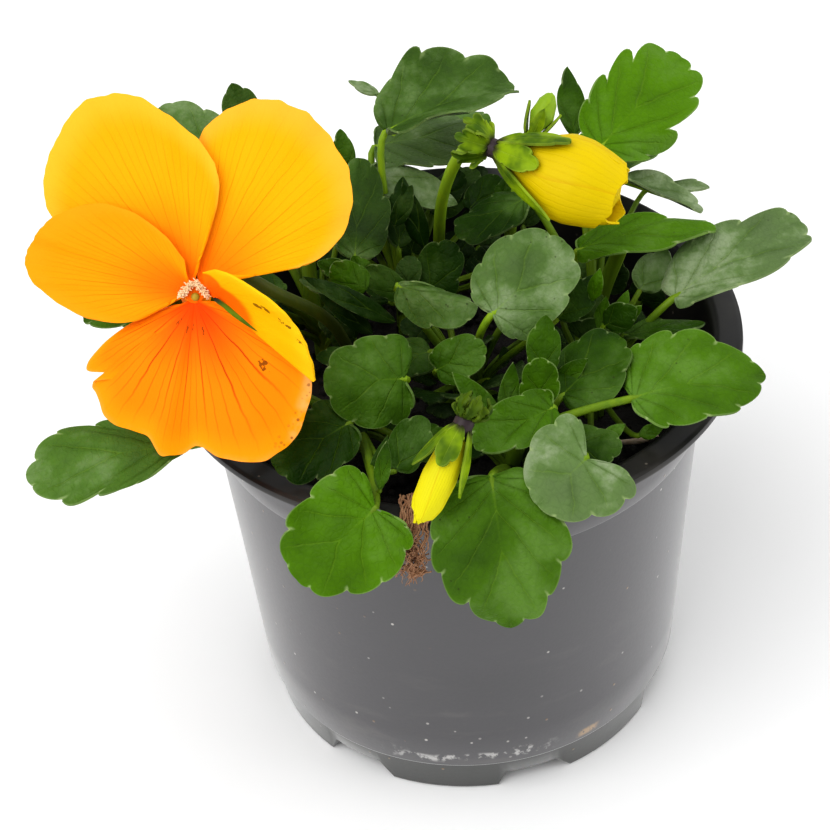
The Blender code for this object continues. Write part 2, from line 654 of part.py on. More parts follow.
def bud_body(neck, tip, girths, twist, sides=12):
    """Rolled petals: rings along the bud, each with three overlapping edges that turn with it."""
    along, near, third = bud_frame(neck, tip)
    neck = np.asarray(neck, float)
    length = np.linalg.norm(np.subtract(tip, neck))
    points = []
    for share, wide, deep in girths:
        for k in range(sides):
            angle = math.tau * k / sides
            step = (3 * (angle + twist * share) / math.tau) % 1
            swell = 1 + 0.12 * (0.5 - step)
            flat = third * math.cos(angle) * wide + near * math.sin(angle) * deep
            points.append(neck + along * length * share + flat * swell)
    count = len(girths)
    faces = []
    for i in range(count - 1):
        for k in range(sides):
            a, b = i * sides + k, i * sides + (k + 1) % sides
            faces += [(a, b + sides, b), (a, a + sides, b + sides)]
    start, end = len(points), len(points) + 1
    points += [neck - along * 0.4, neck + along * (length * girths[-1][0] + 0.6)]
    for k in range(sides):
        after = (k + 1) % sides
        faces.append((start, k, after))
        faces.append((end, (count - 1) * sides + after, (count - 1) * sides + k))
    return np.array(points), faces


def build_calyx(name, neck, tip, sepals, knots, seat_radius, skin, body=None):
    """The green parts of a bud: its stalk, the seat behind the petals, sepals and their lobes."""
    along, near, third = bud_frame(neck, tip)
    neck = np.asarray(neck, float)
    seat = [neck - along * back for back in (4.4, 3.4, 2.2)]
    pieces = [tube(seat, [seat_radius * 0.6, seat_radius, seat_radius * 0.9], 8)]
    for turn, length, width, spread, rise in sepals:
        angle = math.radians(turn)
        out = near * math.cos(angle) + third * math.sin(angle)
        foot = neck - along * 2.6 + out * seat_radius * 0.6
        end = neck + along * length + out * spread
        blade = Blade(foot, end, width, out, arch=rise)
        pieces.append(blade_sheet(blade, LANCE, 0, 0, 1, 0.6))
        if width < 3:
            continue
        tail = neck - along * 5.6 + out * (seat_radius + 1.2)
        pieces.append(blade_sheet(Blade(foot, tail, width * 0.7, out), ROUND, 0, 0, 1, 0.6))
    path = smooth_path([*knots, neck - along * 3.6], 2)
    pieces.append(tube(path, [STALK_RADIUS] * len(path), 5))
    if body:
        pieces.append(body)
    return fuse(name, pieces, skin)


BIG_NECK, BIG_TIP = (9.2, 1.6, 100.6), (24.4, -6.4, 97)
BIG_GIRTHS = [(0.0, 1.5, 1.4), (0.12, 2.3, 2.1), (0.3, 4.3, 3.4), (0.5, 6.1, 4.4), (0.68, 6.2, 4.6),
              (0.86, 5.4, 3.8), (1.0, 4.5, 2.6)]
BIG_SEPALS = [(-55, 9.5, 4.2, 6.8, 0.6), (8, 6.5, 4.6, 5.0, 0.5), (62, 11, 3.0, 8.2, 0.4),
              (150, 7, 2.9, 6.2, 0.4), (-140, 7, 2.9, 6.2, 0.4)]
BIG_STALK = [(-1, 17.5, HOLE_FLOOR + 1), (-1, 17.5, 60), (-1, 16.5, 74), (0, 11.5, 87), (2.8, 6.5, 97.6)]

FRONT_NECK, FRONT_TIP = (-1.2, -45, 86.5), (-7.2, -51.5, 77.5)
FRONT_GIRTHS = [(0.0, 1.1, 1.1), (0.2, 1.9, 1.7), (0.5, 2.5, 2.1), (0.8, 2.1, 1.8), (0.95, 1.2, 1.0),
                (1.0, 0.7, 0.6)]
FRONT_SEPALS = [(58, 6, 2.2, 4.8, 0.3), (4, 4.6, 3.8, 3.3, 0.4), (-68, 7.6, 2.4, 3.9, 0.3),
                (180, 6, 2.6, 4.2, 0.3)]
FRONT_STALK = [(1, -18, HOLE_FLOOR + 1), (1, -18, 60), (0.8, -22, 67), (0.4, -31, 76), (1.2, -38.5, 86),
               (1.5, -41, 90.3)]

SMALL_NECK, SMALL_TIP = (15.5, 25, 89), (18.5, 28, 93.5)
SMALL_GIRTHS = [(0.0, 1.0, 1.0), (0.4, 2.0, 1.8), (0.8, 1.5, 1.3), (1.0, 0.7, 0.6)]
SMALL_SEPALS = [(0, 3.6, 2.4, 2.4, 0.2), (100, 4, 2.2, 2.8, 0.2), (-100, 4, 2.2, 2.8, 0.2)]
SMALL_STALK = [(9, 16, HOLE_FLOOR + 1), (9, 16, 60), (11, 19, 76)]


def build_buds(green, yellow):
    for name, neck, tip, girths, twist in (
            ("big_bud_petals", BIG_NECK, BIG_TIP, BIG_GIRTHS, 1.6),
            ("front_bud_petals", FRONT_NECK, FRONT_TIP, FRONT_GIRTHS, 2.2)):
        mesh_object(name, *bud_body(neck, tip, girths, twist), skin=yellow)
    build_calyx("big_bud_calyx", BIG_NECK, BIG_TIP, BIG_SEPALS, BIG_STALK, 2.4, green)
    build_calyx("front_bud_calyx", FRONT_NECK, FRONT_TIP, FRONT_SEPALS, FRONT_STALK, 2.0, green)
    body = bud_body(SMALL_NECK, SMALL_TIP, SMALL_GIRTHS, 1.0, 6)
    build_calyx("small_bud", SMALL_NECK, SMALL_TIP, SMALL_SEPALS, SMALL_STALK, 1.5, green, body)


# Litter on the rim and the soil


def build_roots(skin):
    """Old roots that hang over the front of the rim, gathered into a tuft below it."""
    rng = np.random.default_rng(11)
    pieces = []
    for i in range(4):
        spread = (i - 1.5) * 1.3
        sway = rng.uniform(-1, 1, 3)
        knots = [(-8 + spread, -38.6, 70.7), (-8 + spread * 0.9, -43.2, 71.1),
                 (-8.2 + spread * 0.8, -45.9, 69 + 0.4 * sway[0]),
                 (-8.6 + spread * 0.4, -46.2, 66 + sway[1]),
                 (-8.8 + spread, -46.4, 62 - abs(spread) + sway[2])]
        pieces.append(tube(knots, np.linspace(0.5, 0.3, len(knots)), 4))
    pieces.append(tube([(-11, -38.8, 70.7), (-5, -38.8, 70.7)], [0.5, 0.5], 4))
    return fuse("root_tuft", pieces, skin)


def build_straw(skin):
    path = [(x, y, ground(x, y) + 1.2) for x, y in ((23.6, -18), (27, -17.4), (30.2, -16.4))]
    return mesh_object("straw", *tube(path, [0.35, 0.5, 0.4], 6), skin=skin)


def main():
    clear_scene()
    plastic = material("pot_plastic", (0.12, 0.12, 0.125), 0.4)
    earth = material("earth", (0.02, 0.015, 0.012), 0.95)
    green = material("leaf_green", (0.05, 0.2, 0.02), 0.45)
    stalk_green = material("stalk_green", (0.16, 0.33, 0.04), 0.5)
    orange = material("petal_orange", (1.0, 0.36, 0.02), 0.55)
    yellow = material("bud_yellow", (0.9, 0.68, 0.02), 0.5)
    brown = material("root_brown", (0.2, 0.1, 0.04), 0.85)
    pale = material("straw_pale", (0.6, 0.5, 0.3), 0.7)
    build_pot(plastic)
    holes = [(*spec["stem"][0][:2], HOLE_FLOOR, 1.95) for spec in SHOOTS.values()]
    holes += [(*knots[0][:2], HOLE_FLOOR, 1.5) for knots in (BIG_STALK, FRONT_STALK, SMALL_STALK)]
    holes.append((-15, -3, HOLE_FLOOR, 1.4))
    build_soil(earth, holes)
    for name, spec in SHOOTS.items():
        build_shoot(name, spec, green)
    build_bloom(orange)
    build_bloom_stalk(stalk_green)
    build_buds(stalk_green, yellow)
    build_roots(brown)
    build_straw(pale)


main()
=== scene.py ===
"""Looks of a potted horned violet: the pot, its soil, the leafy shoots, the open bloom, the buds, the
litter and the stage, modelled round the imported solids. Lengths are in millimetres, as in the solids'
source, until a mesh is placed, which takes metres."""

import math

import bpy
import numpy as np
from bpy.props import FloatProperty, FloatVectorProperty, IntProperty, PointerProperty
from bpy.types import Operator, Panel, PropertyGroup
from mathutils import Matrix, Vector


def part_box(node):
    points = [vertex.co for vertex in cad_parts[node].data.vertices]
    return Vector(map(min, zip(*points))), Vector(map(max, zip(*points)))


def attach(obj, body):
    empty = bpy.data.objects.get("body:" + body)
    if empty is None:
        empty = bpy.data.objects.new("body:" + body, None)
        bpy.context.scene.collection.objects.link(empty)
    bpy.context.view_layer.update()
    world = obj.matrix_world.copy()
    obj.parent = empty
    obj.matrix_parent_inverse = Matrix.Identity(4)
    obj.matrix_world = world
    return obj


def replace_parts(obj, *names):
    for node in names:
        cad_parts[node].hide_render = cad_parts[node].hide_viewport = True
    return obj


bl_info = {
    "name": "Potted Horned Violet",
    "version": (1, 0, 0),
    "blender": (4, 5, 0),
    "location": "View3D > Sidebar > Violet",
    "description": "Builds a potted horned violet round its packed solids",
    "category": "Object",
}

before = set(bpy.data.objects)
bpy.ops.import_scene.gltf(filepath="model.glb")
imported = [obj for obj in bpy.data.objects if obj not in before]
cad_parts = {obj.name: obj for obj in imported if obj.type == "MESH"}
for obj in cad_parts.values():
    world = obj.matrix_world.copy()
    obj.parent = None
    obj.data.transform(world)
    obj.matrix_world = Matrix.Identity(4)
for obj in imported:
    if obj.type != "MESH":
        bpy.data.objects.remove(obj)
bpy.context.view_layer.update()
BODY = "root"
MM = 0.001

# Pot
POT_TOP = round(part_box("pot")[1].z / MM, 2)
LIP_RADIUS = 45.0
LIP_WIDTH = 4.0
BODY_TOP_RADIUS = 38.9
BODY_FOOT_RADIUS = 35.4
COLLAR_HEIGHT = 12.0
WALL = 1.5
FLOOR_UNDER = 3.0
FLOOR_TOP = 4.6
FEET = 7
FOOT_TURN = -11.0
FOOT_SHARE = 0.64
NOTCH_SLOPE = 7
NOTCH_RISE = FLOOR_UNDER - 0.2
UNDERSIDE = 0.35
RIM_DEPTH = 1.9
POT_SEGMENTS = 168
PAD_RADIUS = 7.0
DRAIN_RADIUS = 2.6
DRAIN_RING = 23.0
DRAIN_DEPTH = 12.0
RING_INSIDE = 30.0
SOIL_LEVEL = 58.0
SOIL_BUMPS = 0.45
SOIL_SEED = 7
CRUMB_REACH = 35.0
CRUMB_CLEARANCE = 2.6
CRUMB_SIZES = (0.8, 2.6)
CRUMB_SEED = 5

# Plant
NOTCH = 0.09
LEAF_THICKNESS = 0.34
PETAL_THICKNESS = 0.4
SEPAL_THICKNESS = 0.4
WRAP_THICKNESS = 0.35
PETIOLE_RADIUS = 0.64
PETIOLE_CLIMB = 0.25
PETIOLE_STEPS = 12
SLIM_LEAF = 7
SLIM_SHARE = 0.75
STALK_RADIUS = 0.95
STEM_ROOT = 41
STEM_KNEE = 60
STEM_RADII = (1.5, 1.15)
FILL_RADIUS = 31
FILL_HEIGHTS = (64, 73)
FILL_WIDTHS = (4, 7.5)
FILL_SEED = 23
STATIONS_PER_TOOTH = 10
PLAIN_COLUMNS = 14
LEAF_ROWS = 14
NARROW_LEAF = 5
NARROW_ROWS = 8

# How late the side veins leave the midrib, as the power of their way along the margin
FAN = 4.5

# Half outlines of blades as the two inner handles of one cubic: along, then across, as shares
# of the length and of the width
ROUND = (-0.34, 0.74, 1.10, 0.66)
BROAD = (-0.14, 0.70, 1.04, 0.62)
OVATE = (0.00, 0.66, 0.80, 0.60)
HEART = (-0.62, 0.84, 1.10, 0.66)
LOBED = (-1.25, 0.95, 1.12, 0.74)
BLUNT = (-0.24, 0.66, 1.16, 0.80)
EGG = (-0.16, 0.78, 0.92, 0.52)
PADDLE = (0.10, 0.52, 0.98, 0.76)
LANCE = (0.18, 0.62, 0.66, 0.56)

# Ways that a surface may face
VIEWER = (0.0, -0.76, 0.65)
SKY = (0, -0.3, 1)

# Camera, fitted to the outline of the pot
CAMERA_TARGET = np.array([-6.84, 0.0, 52.66])
CAMERA_DISTANCE = 350.0
CAMERA_ELEVATION = 40.19
CAMERA_ROLL = 4.17
CAMERA_LENS = 94.07
CAMERA_SENSOR = 36.0


def srgb(red, green, blue):
    """A colour seen as 0 to 255 on screen, as the light that shaders use."""
    return tuple(c / 12.92 if c <= 0.04045 else ((c + 0.055) / 1.055) ** 2.4
                 for c in (red / 255, green / 255, blue / 255))


def toned(colour, share):
    """A colour made darker, or lighter where the share is over 1."""
    return tuple(min(1.0, share * c) for c in colour)


# Shader expressions


def operation(name, swapped=False):
    """A method that adds a Math node for a value and another, in this order or swapped."""
    def applied_to(self, other):
        return self.math(name, *((other, self) if swapped else (self, other)))
    return applied_to


class Value:
    """A node's output that can stand in a Python expression."""

    def __init__(self, finish, socket):
        self.finish = finish
        self.socket = socket

    def math(self, name, *values):
        return self.finish.node("ShaderNodeMath", {"operation": name}, dict(enumerate(values)))

    __add__ = __radd__ = operation("ADD")
    __sub__ = operation("SUBTRACT")
    __rsub__ = operation("SUBTRACT", swapped=True)
    __mul__ = __rmul__ = operation("MULTIPLY")
    __pow__ = operation("POWER")
    most = operation("MAXIMUM")

    def __abs__(self):
        return self.math("ABSOLUTE", self)

    def fraction(self):
        return self.math("FRACT", self)

    def rise(self, low, high):
        """0 below low and 1 above high, with a soft step between them."""
        sockets = {"Value": self, "From Min": low, "From Max": high}
        return self.finish.node("ShaderNodeMapRange", {"interpolation_type": "SMOOTHSTEP"}, sockets)

    def fall(self, low, high):
        return 1 - self.rise(low, high)


class Finish:
    """A surface finish: a Principled material whose colour, gloss and relief come from expressions."""

    def __init__(self, name, fixed=None):
        self.material = bpy.data.materials.new(name)
        self.material.use_nodes = True
        self.tree = self.material.node_tree
        self.shader = self.tree.nodes["Principled BSDF"]
        for socket, value in (fixed or {}).items():
            self.shader.inputs[socket].default_value = value

    def node(self, kind, settings=None, sockets=None, out=0):
        """Adds a node: its settings, then its sockets' values or links."""
        made = self.tree.nodes.new(kind)
        for key, value in (settings or {}).items():
            setattr(made, key, value)
        for key, value in (sockets or {}).items():
            if isinstance(value, Value):
                self.tree.links.new(value.socket, made.inputs[key])
            else:
                made.inputs[key].default_value = value
        return Value(self, made.outputs[out])

    def place(self):
        return self.node("ShaderNodeTexCoord", out="Object")

    def chart(self):
        """The two numbers of the piece's own map."""
        return self.parts(self.node("ShaderNodeUVMap", {"uv_map": "UVMap"}))[:2]

    def marks(self, name):
        """The three numbers that a piece carries at each point."""
        return self.parts(self.node("ShaderNodeAttribute", {"attribute_name": name}, out="Vector"))

    def parts(self, vector):
        split = self.node("ShaderNodeSeparateXYZ", sockets={0: vector}).socket.node
        return [Value(self, socket) for socket in split.outputs]

    def joined(self, x, y, z=0.0):
        return self.node("ShaderNodeCombineXYZ", sockets={0: x, 1: y, 2: z})

    def noise(self, vector, scale, detail=3.0, roughness=0.55):
        sockets = {"Vector": vector, "Scale": scale, "Detail": detail, "Roughness": roughness}
        return self.node("ShaderNodeTexNoise", None, sockets)

    def cells(self, vector, scale, feature="F1", out="Distance"):
        sockets = {"Vector": vector, "Scale": scale}
        return self.node("ShaderNodeTexVoronoi", {"feature": feature}, sockets, out)

    def stretched(self, vector, x, y, z):
        return self.node("ShaderNodeVectorMath", {"operation": "MULTIPLY"}, {0: vector, 1: (x, y, z)})

    def mix(self, factor, first, second):
        """The first colour where factor is 0, and the second where it is 1."""
        colours = [c if isinstance(c, Value) else (*c, 1.0) for c in (first, second)]
        return self.node("ShaderNodeMix", {"data_type": "RGBA"},
                         {0: factor, 6: colours[0], 7: colours[1]}, 2)

    def layered(self, colour, *coats):
        """The colour under coats, each given as how much of it shows and its colour."""
        for factor, coat in coats:
            colour = self.mix(factor, colour, coat)
        return colour

    def made(self, colour=None, roughness=None, height=None, depth=0.2, strength=0.6):
        """Links what changes over the surface, with depth as the relief's height in millimetres."""
        linked = {"Base Color": colour, "Roughness": roughness}
        if height is not None:
            linked["Normal"] = self.node("ShaderNodeBump", None, {
                "Height": height, "Distance": depth * MM, "Strength": strength})
        for socket, value in linked.items():
            if value is not None:
                self.tree.links.new(value.socket, self.shader.inputs[socket])
        return self.material


# Modelling helpers


def deselect():
    if bpy.context.mode != "OBJECT":
        bpy.ops.object.mode_set(mode="OBJECT")
    bpy.ops.object.select_all(action="DESELECT")


def take(*objs):
    """Selects these objects alone and works on the first."""
    deselect()
    for obj in objs:
        obj.select_set(True)
    bpy.context.view_layer.objects.active = objs[0]


def named(name):
    obj = bpy.context.active_object
    obj.name = name
    return obj


def applied(obj, kind, **settings):
    """Adds a modifier and applies it."""
    take(obj)
    modifier = obj.modifiers.new(kind.title(), kind)
    for key, value in settings.items():
        setattr(modifier, key, value)
    bpy.ops.object.modifier_apply(modifier=modifier.name)


def joined(name, objs):
    take(*objs)
    if len(objs) > 1:
        bpy.ops.object.join()
    return named(name)


def whole(obj, operator, **settings):
    """Runs an edit mode operator on all of the object."""
    take(obj)
    bpy.ops.object.mode_set(mode="EDIT")
    bpy.ops.mesh.select_all(action="SELECT")
    operator(**settings)
    bpy.ops.object.mode_set(mode="OBJECT")


def closed(obj, within=0.002):
    """Merges what meets in one point, such as a sheet's row at its foot."""
    whole(obj, bpy.ops.mesh.remove_doubles, threshold=within * MM)


def thickened(obj, thickness, under=0):
    """Gives a sheet its thickness, with the material that is under places on for its far side."""
    applied(obj, "SOLIDIFY", thickness=thickness * MM, offset=0.0, material_offset=under)


def settled(obj, body=BODY, smooth=50.0):
    """Puts a finished piece's place into its mesh, smooths it and lets it ride."""
    take(obj)
    bpy.ops.object.transform_apply(location=True, rotation=True, scale=True)
    bpy.ops.object.shade_smooth_by_angle(angle=math.radians(smooth))
    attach(obj, body)


def unit(vector):
    vector = np.asarray(vector, float)
    return vector / np.linalg.norm(vector)


def bezier(controls, t):
    a, b, c, d = (np.asarray(p, float) for p in controls)
    t = np.asarray(t, float)[..., None]
    s = 1 - t
    return a * s**3 + 3 * b * s * s * t + 3 * c * s * t * t + d * t**3


def smooth_path(knots, steps):
    """A curve through every knot, with this many steps between neighbours."""
    knots = [np.asarray(k, float) for k in knots]
    ends = [2 * knots[0] - knots[1], *knots, 2 * knots[-1] - knots[-2]]
    path = []
    for i in range(1, len(ends) - 2):
        before, start, end, after = ends[i - 1:i + 3]
        handles = (start, start + (end - before) / 6, end - (after - start) / 6, end)
        path += list(bezier(handles, np.arange(steps) / steps))
    return np.array([*path, knots[-1]])


def places(mesh):
    """The mesh's points, one in a row."""
    flat = np.empty(len(mesh.vertices) * 3, np.float32)
    mesh.vertices.foreach_get("co", flat)
    return flat.reshape(-1, 3).astype(float)


def moved(mesh, spots):
    """Moves the mesh's points to these spots, in millimetres."""
    mesh.vertices.foreach_set("co", (spots * MM).astype(np.float32).ravel())
    mesh.update()


def swings(seed, count):
    """Random turns, by which like waves differ."""
    return np.random.default_rng(seed).uniform(0, math.tau, count)


def tapered(knots, radii):
    """A bar's curve through knots, as thick at each as radii say."""
    path = smooth_path(knots, 6)
    return path, np.interp(np.linspace(0, len(radii) - 1, len(path)), range(len(radii)), radii)


def sheet(name, columns, rows, place, finish, marks=(0, 0, 0)):
    """A grid whose points go to place(u, v), with u and v from 0 to 1, which are also its map."""
    deselect()
    bpy.ops.mesh.primitive_grid_add(x_subdivisions=columns, y_subdivisions=rows, size=1)
    obj = named(name)
    mesh = obj.data
    shares = np.clip(places(mesh)[:, :2] + 0.5, 0, 1)
    moved(mesh, place(shares[:, 0], shares[:, 1]))
    loops = np.empty(len(mesh.loops), np.int32)
    mesh.loops.foreach_get("vertex_index", loops)
    mesh.uv_layers.active.data.foreach_set("uv", shares[loops].astype(np.float32).ravel())
    carried = mesh.attributes.new("marks", "FLOAT_VECTOR", "POINT")
    carried.data.foreach_set("vector", np.tile(np.asarray(marks, np.float32), len(mesh.vertices)))
    for skin in finish:
        mesh.materials.append(skin)
    return obj


def bars(name, paths, skin, resolution=2):
    """Round bars along (points, radii), drawn as one bevelled curve and made a mesh."""
    deselect()
    bpy.ops.curve.primitive_nurbs_path_add()
    obj = named(name)
    curve = obj.data
    curve.splines.clear()
    curve.bevel_depth = MM
    curve.bevel_resolution = resolution
    curve.use_fill_caps = True
    for points, radii in paths:
        spline = curve.splines.new("POLY")
        spline.points.add(len(points) - 1)
        spline.use_smooth = True
        for knot, point, radius in zip(spline.points, points, radii):
            knot.co = (*(np.asarray(point, float) * MM), 1.0)
            knot.radius = radius
    curve.materials.append(skin)
    take(obj)
    bpy.ops.object.convert(target="MESH")
    closed(obj, 0.001)
    return obj


# Leaves


def half_outline(shape, t):
    """Shares of the length and of the width at t along the margin, from the foot to the tip."""
    low_a, low_b, high_a, high_b = shape
    s = 1 - t
    along = 3 * low_a * s * s * t + 3 * high_a * s * t * t + t**3
    return along, 3 * low_b * s * s * t + 3 * high_b * s * t * t


class Blade:
    """The mid surface of a leaf, from its foot to its tip."""

    def __init__(self, foot, tip, width, face, arch=0.0, cup=0.0, fold=0.0, wave=0.0, lean=1.0):
        self.foot = np.asarray(foot, float)
        self.along = unit(tip - self.foot)
        self.length = np.linalg.norm(tip - self.foot)
        face = np.asarray(face, float)
        self.up = unit(face - self.along * (face @ self.along))
        self.side = np.cross(self.along, self.up)
        self.width, self.arch, self.cup, self.fold, self.wave, self.lean = width, arch, cup, fold, wave, lean

    def at(self, along, across, extra=0.0):
        """The points at shares of the length and of the width, which runs from -0.5 to 0.5."""
        along, across = np.broadcast_arrays(np.asarray(along, float), np.asarray(across, float))
        share = np.abs(2 * across)
        across = np.where(across < 0, across * self.lean, across)
        lift = 4 * self.arch * along * (1 - along)
        lift = lift - self.cup * share * share
        lift = lift - self.fold * (np.sqrt(share * share + 0.02) - 0.14)
        lift = lift + self.wave * np.sin(9 * along + 3 * across) * share * share + extra
        return (self.foot + along[..., None] * self.length * self.along + lift[..., None] * self.up
                + across[..., None] * self.width * self.side)


def leaf(blade, shape, teeth, seed, skins, tone_and_shade=0.5, sheen=0.0, notch=NOTCH, fine=1.0):
    """A crenate blade: rounded teeth with a notch after each, and a surface raised between its veins."""
    turns = teeth + 0.5 if teeth else 2.0
    swing = swings(seed, 4)
    size = min(blade.length, blade.width * 1.4) / 20

    def place(u, v):
        t, side = u, 1 - 2 * v
        share = np.abs(side)
        phase = t * turns
        vein = t**FAN
        along, across = half_outline(shape, t)
        if teeth:
            crest = np.abs(np.sin(math.pi * (phase % 1) ** 1.2)) ** 0.6
            pull = 1 - notch * (1 - crest) * (1 + 0.4 * np.sin(2.1 * phase + swing[3] + side))
            along = vein + (along - vein) * pull
            across = across * pull * (1 + 0.05 * np.sin(1.7 * phase + swing[3] * 2 + 2 * side))
        raised = np.abs(np.sin(math.pi * (phase - 0.5))) * share * (1 - share) * 1.3
        groove = np.exp(-(share / 0.08) ** 2) * (1 - t)
        swell = np.sin(5 * t + swing[0]) * np.sin(4 * side + swing[1]) * share
        ripple = np.sin(math.tau * phase * 0.5 + swing[2] + side) * share**3
        curl = np.sin(3 * t * side + swing[3]) * share**2
        room = np.clip(6 * (1 - t), 0, 1) * np.clip(12 * t, 0, 1)
        extra = room * size * (0.4 * raised - 0.4 * groove + 0.8 * swell + 0.7 * ripple + 0.5 * curl)
        return blade.at(vein + (along - vein) * share, np.sign(side) * across * share, extra)

    columns = int(round(turns * STATIONS_PER_TOOTH * fine)) if teeth else PLAIN_COLUMNS
    rows = int(LEAF_ROWS * fine) if blade.width > NARROW_LEAF else NARROW_ROWS
    made = sheet("blade", columns, rows, place, skins, (tone_and_shade, turns / 10, sheen))
    closed(made)
    return made


def petiole(blade, start, climb, radius):
    """The leaf stalk as a path with radii, which runs on under the blade as its midrib."""
    start = np.asarray(start, float)
    reach = np.linalg.norm(blade.foot - start)
    lead = blade.at(0.12, 0.0) - blade.at(0.0, 0.0)
    under = blade.up * 0.15
    handles = (start, start + np.array([0, 0, climb * reach]),
               blade.foot - unit(lead) * reach * 0.12 * min(1.0, 1 + blade.along[2]), blade.foot - under)
    stalk = bezier(handles, np.linspace(0, 0.96, PETIOLE_STEPS))
    rib = [blade.at(share, 0.0) - blade.up * (0.1 + 0.5 * radius * (1 - share))
           for share in (0.05, 0.2, 0.4, 0.6)]
    thick = np.linspace(radius * 1.1, radius * 0.9, PETIOLE_STEPS)
    return [*stalk, *rib], [*thick, radius * 0.7, radius * 0.5, radius * 0.35, 0.1]
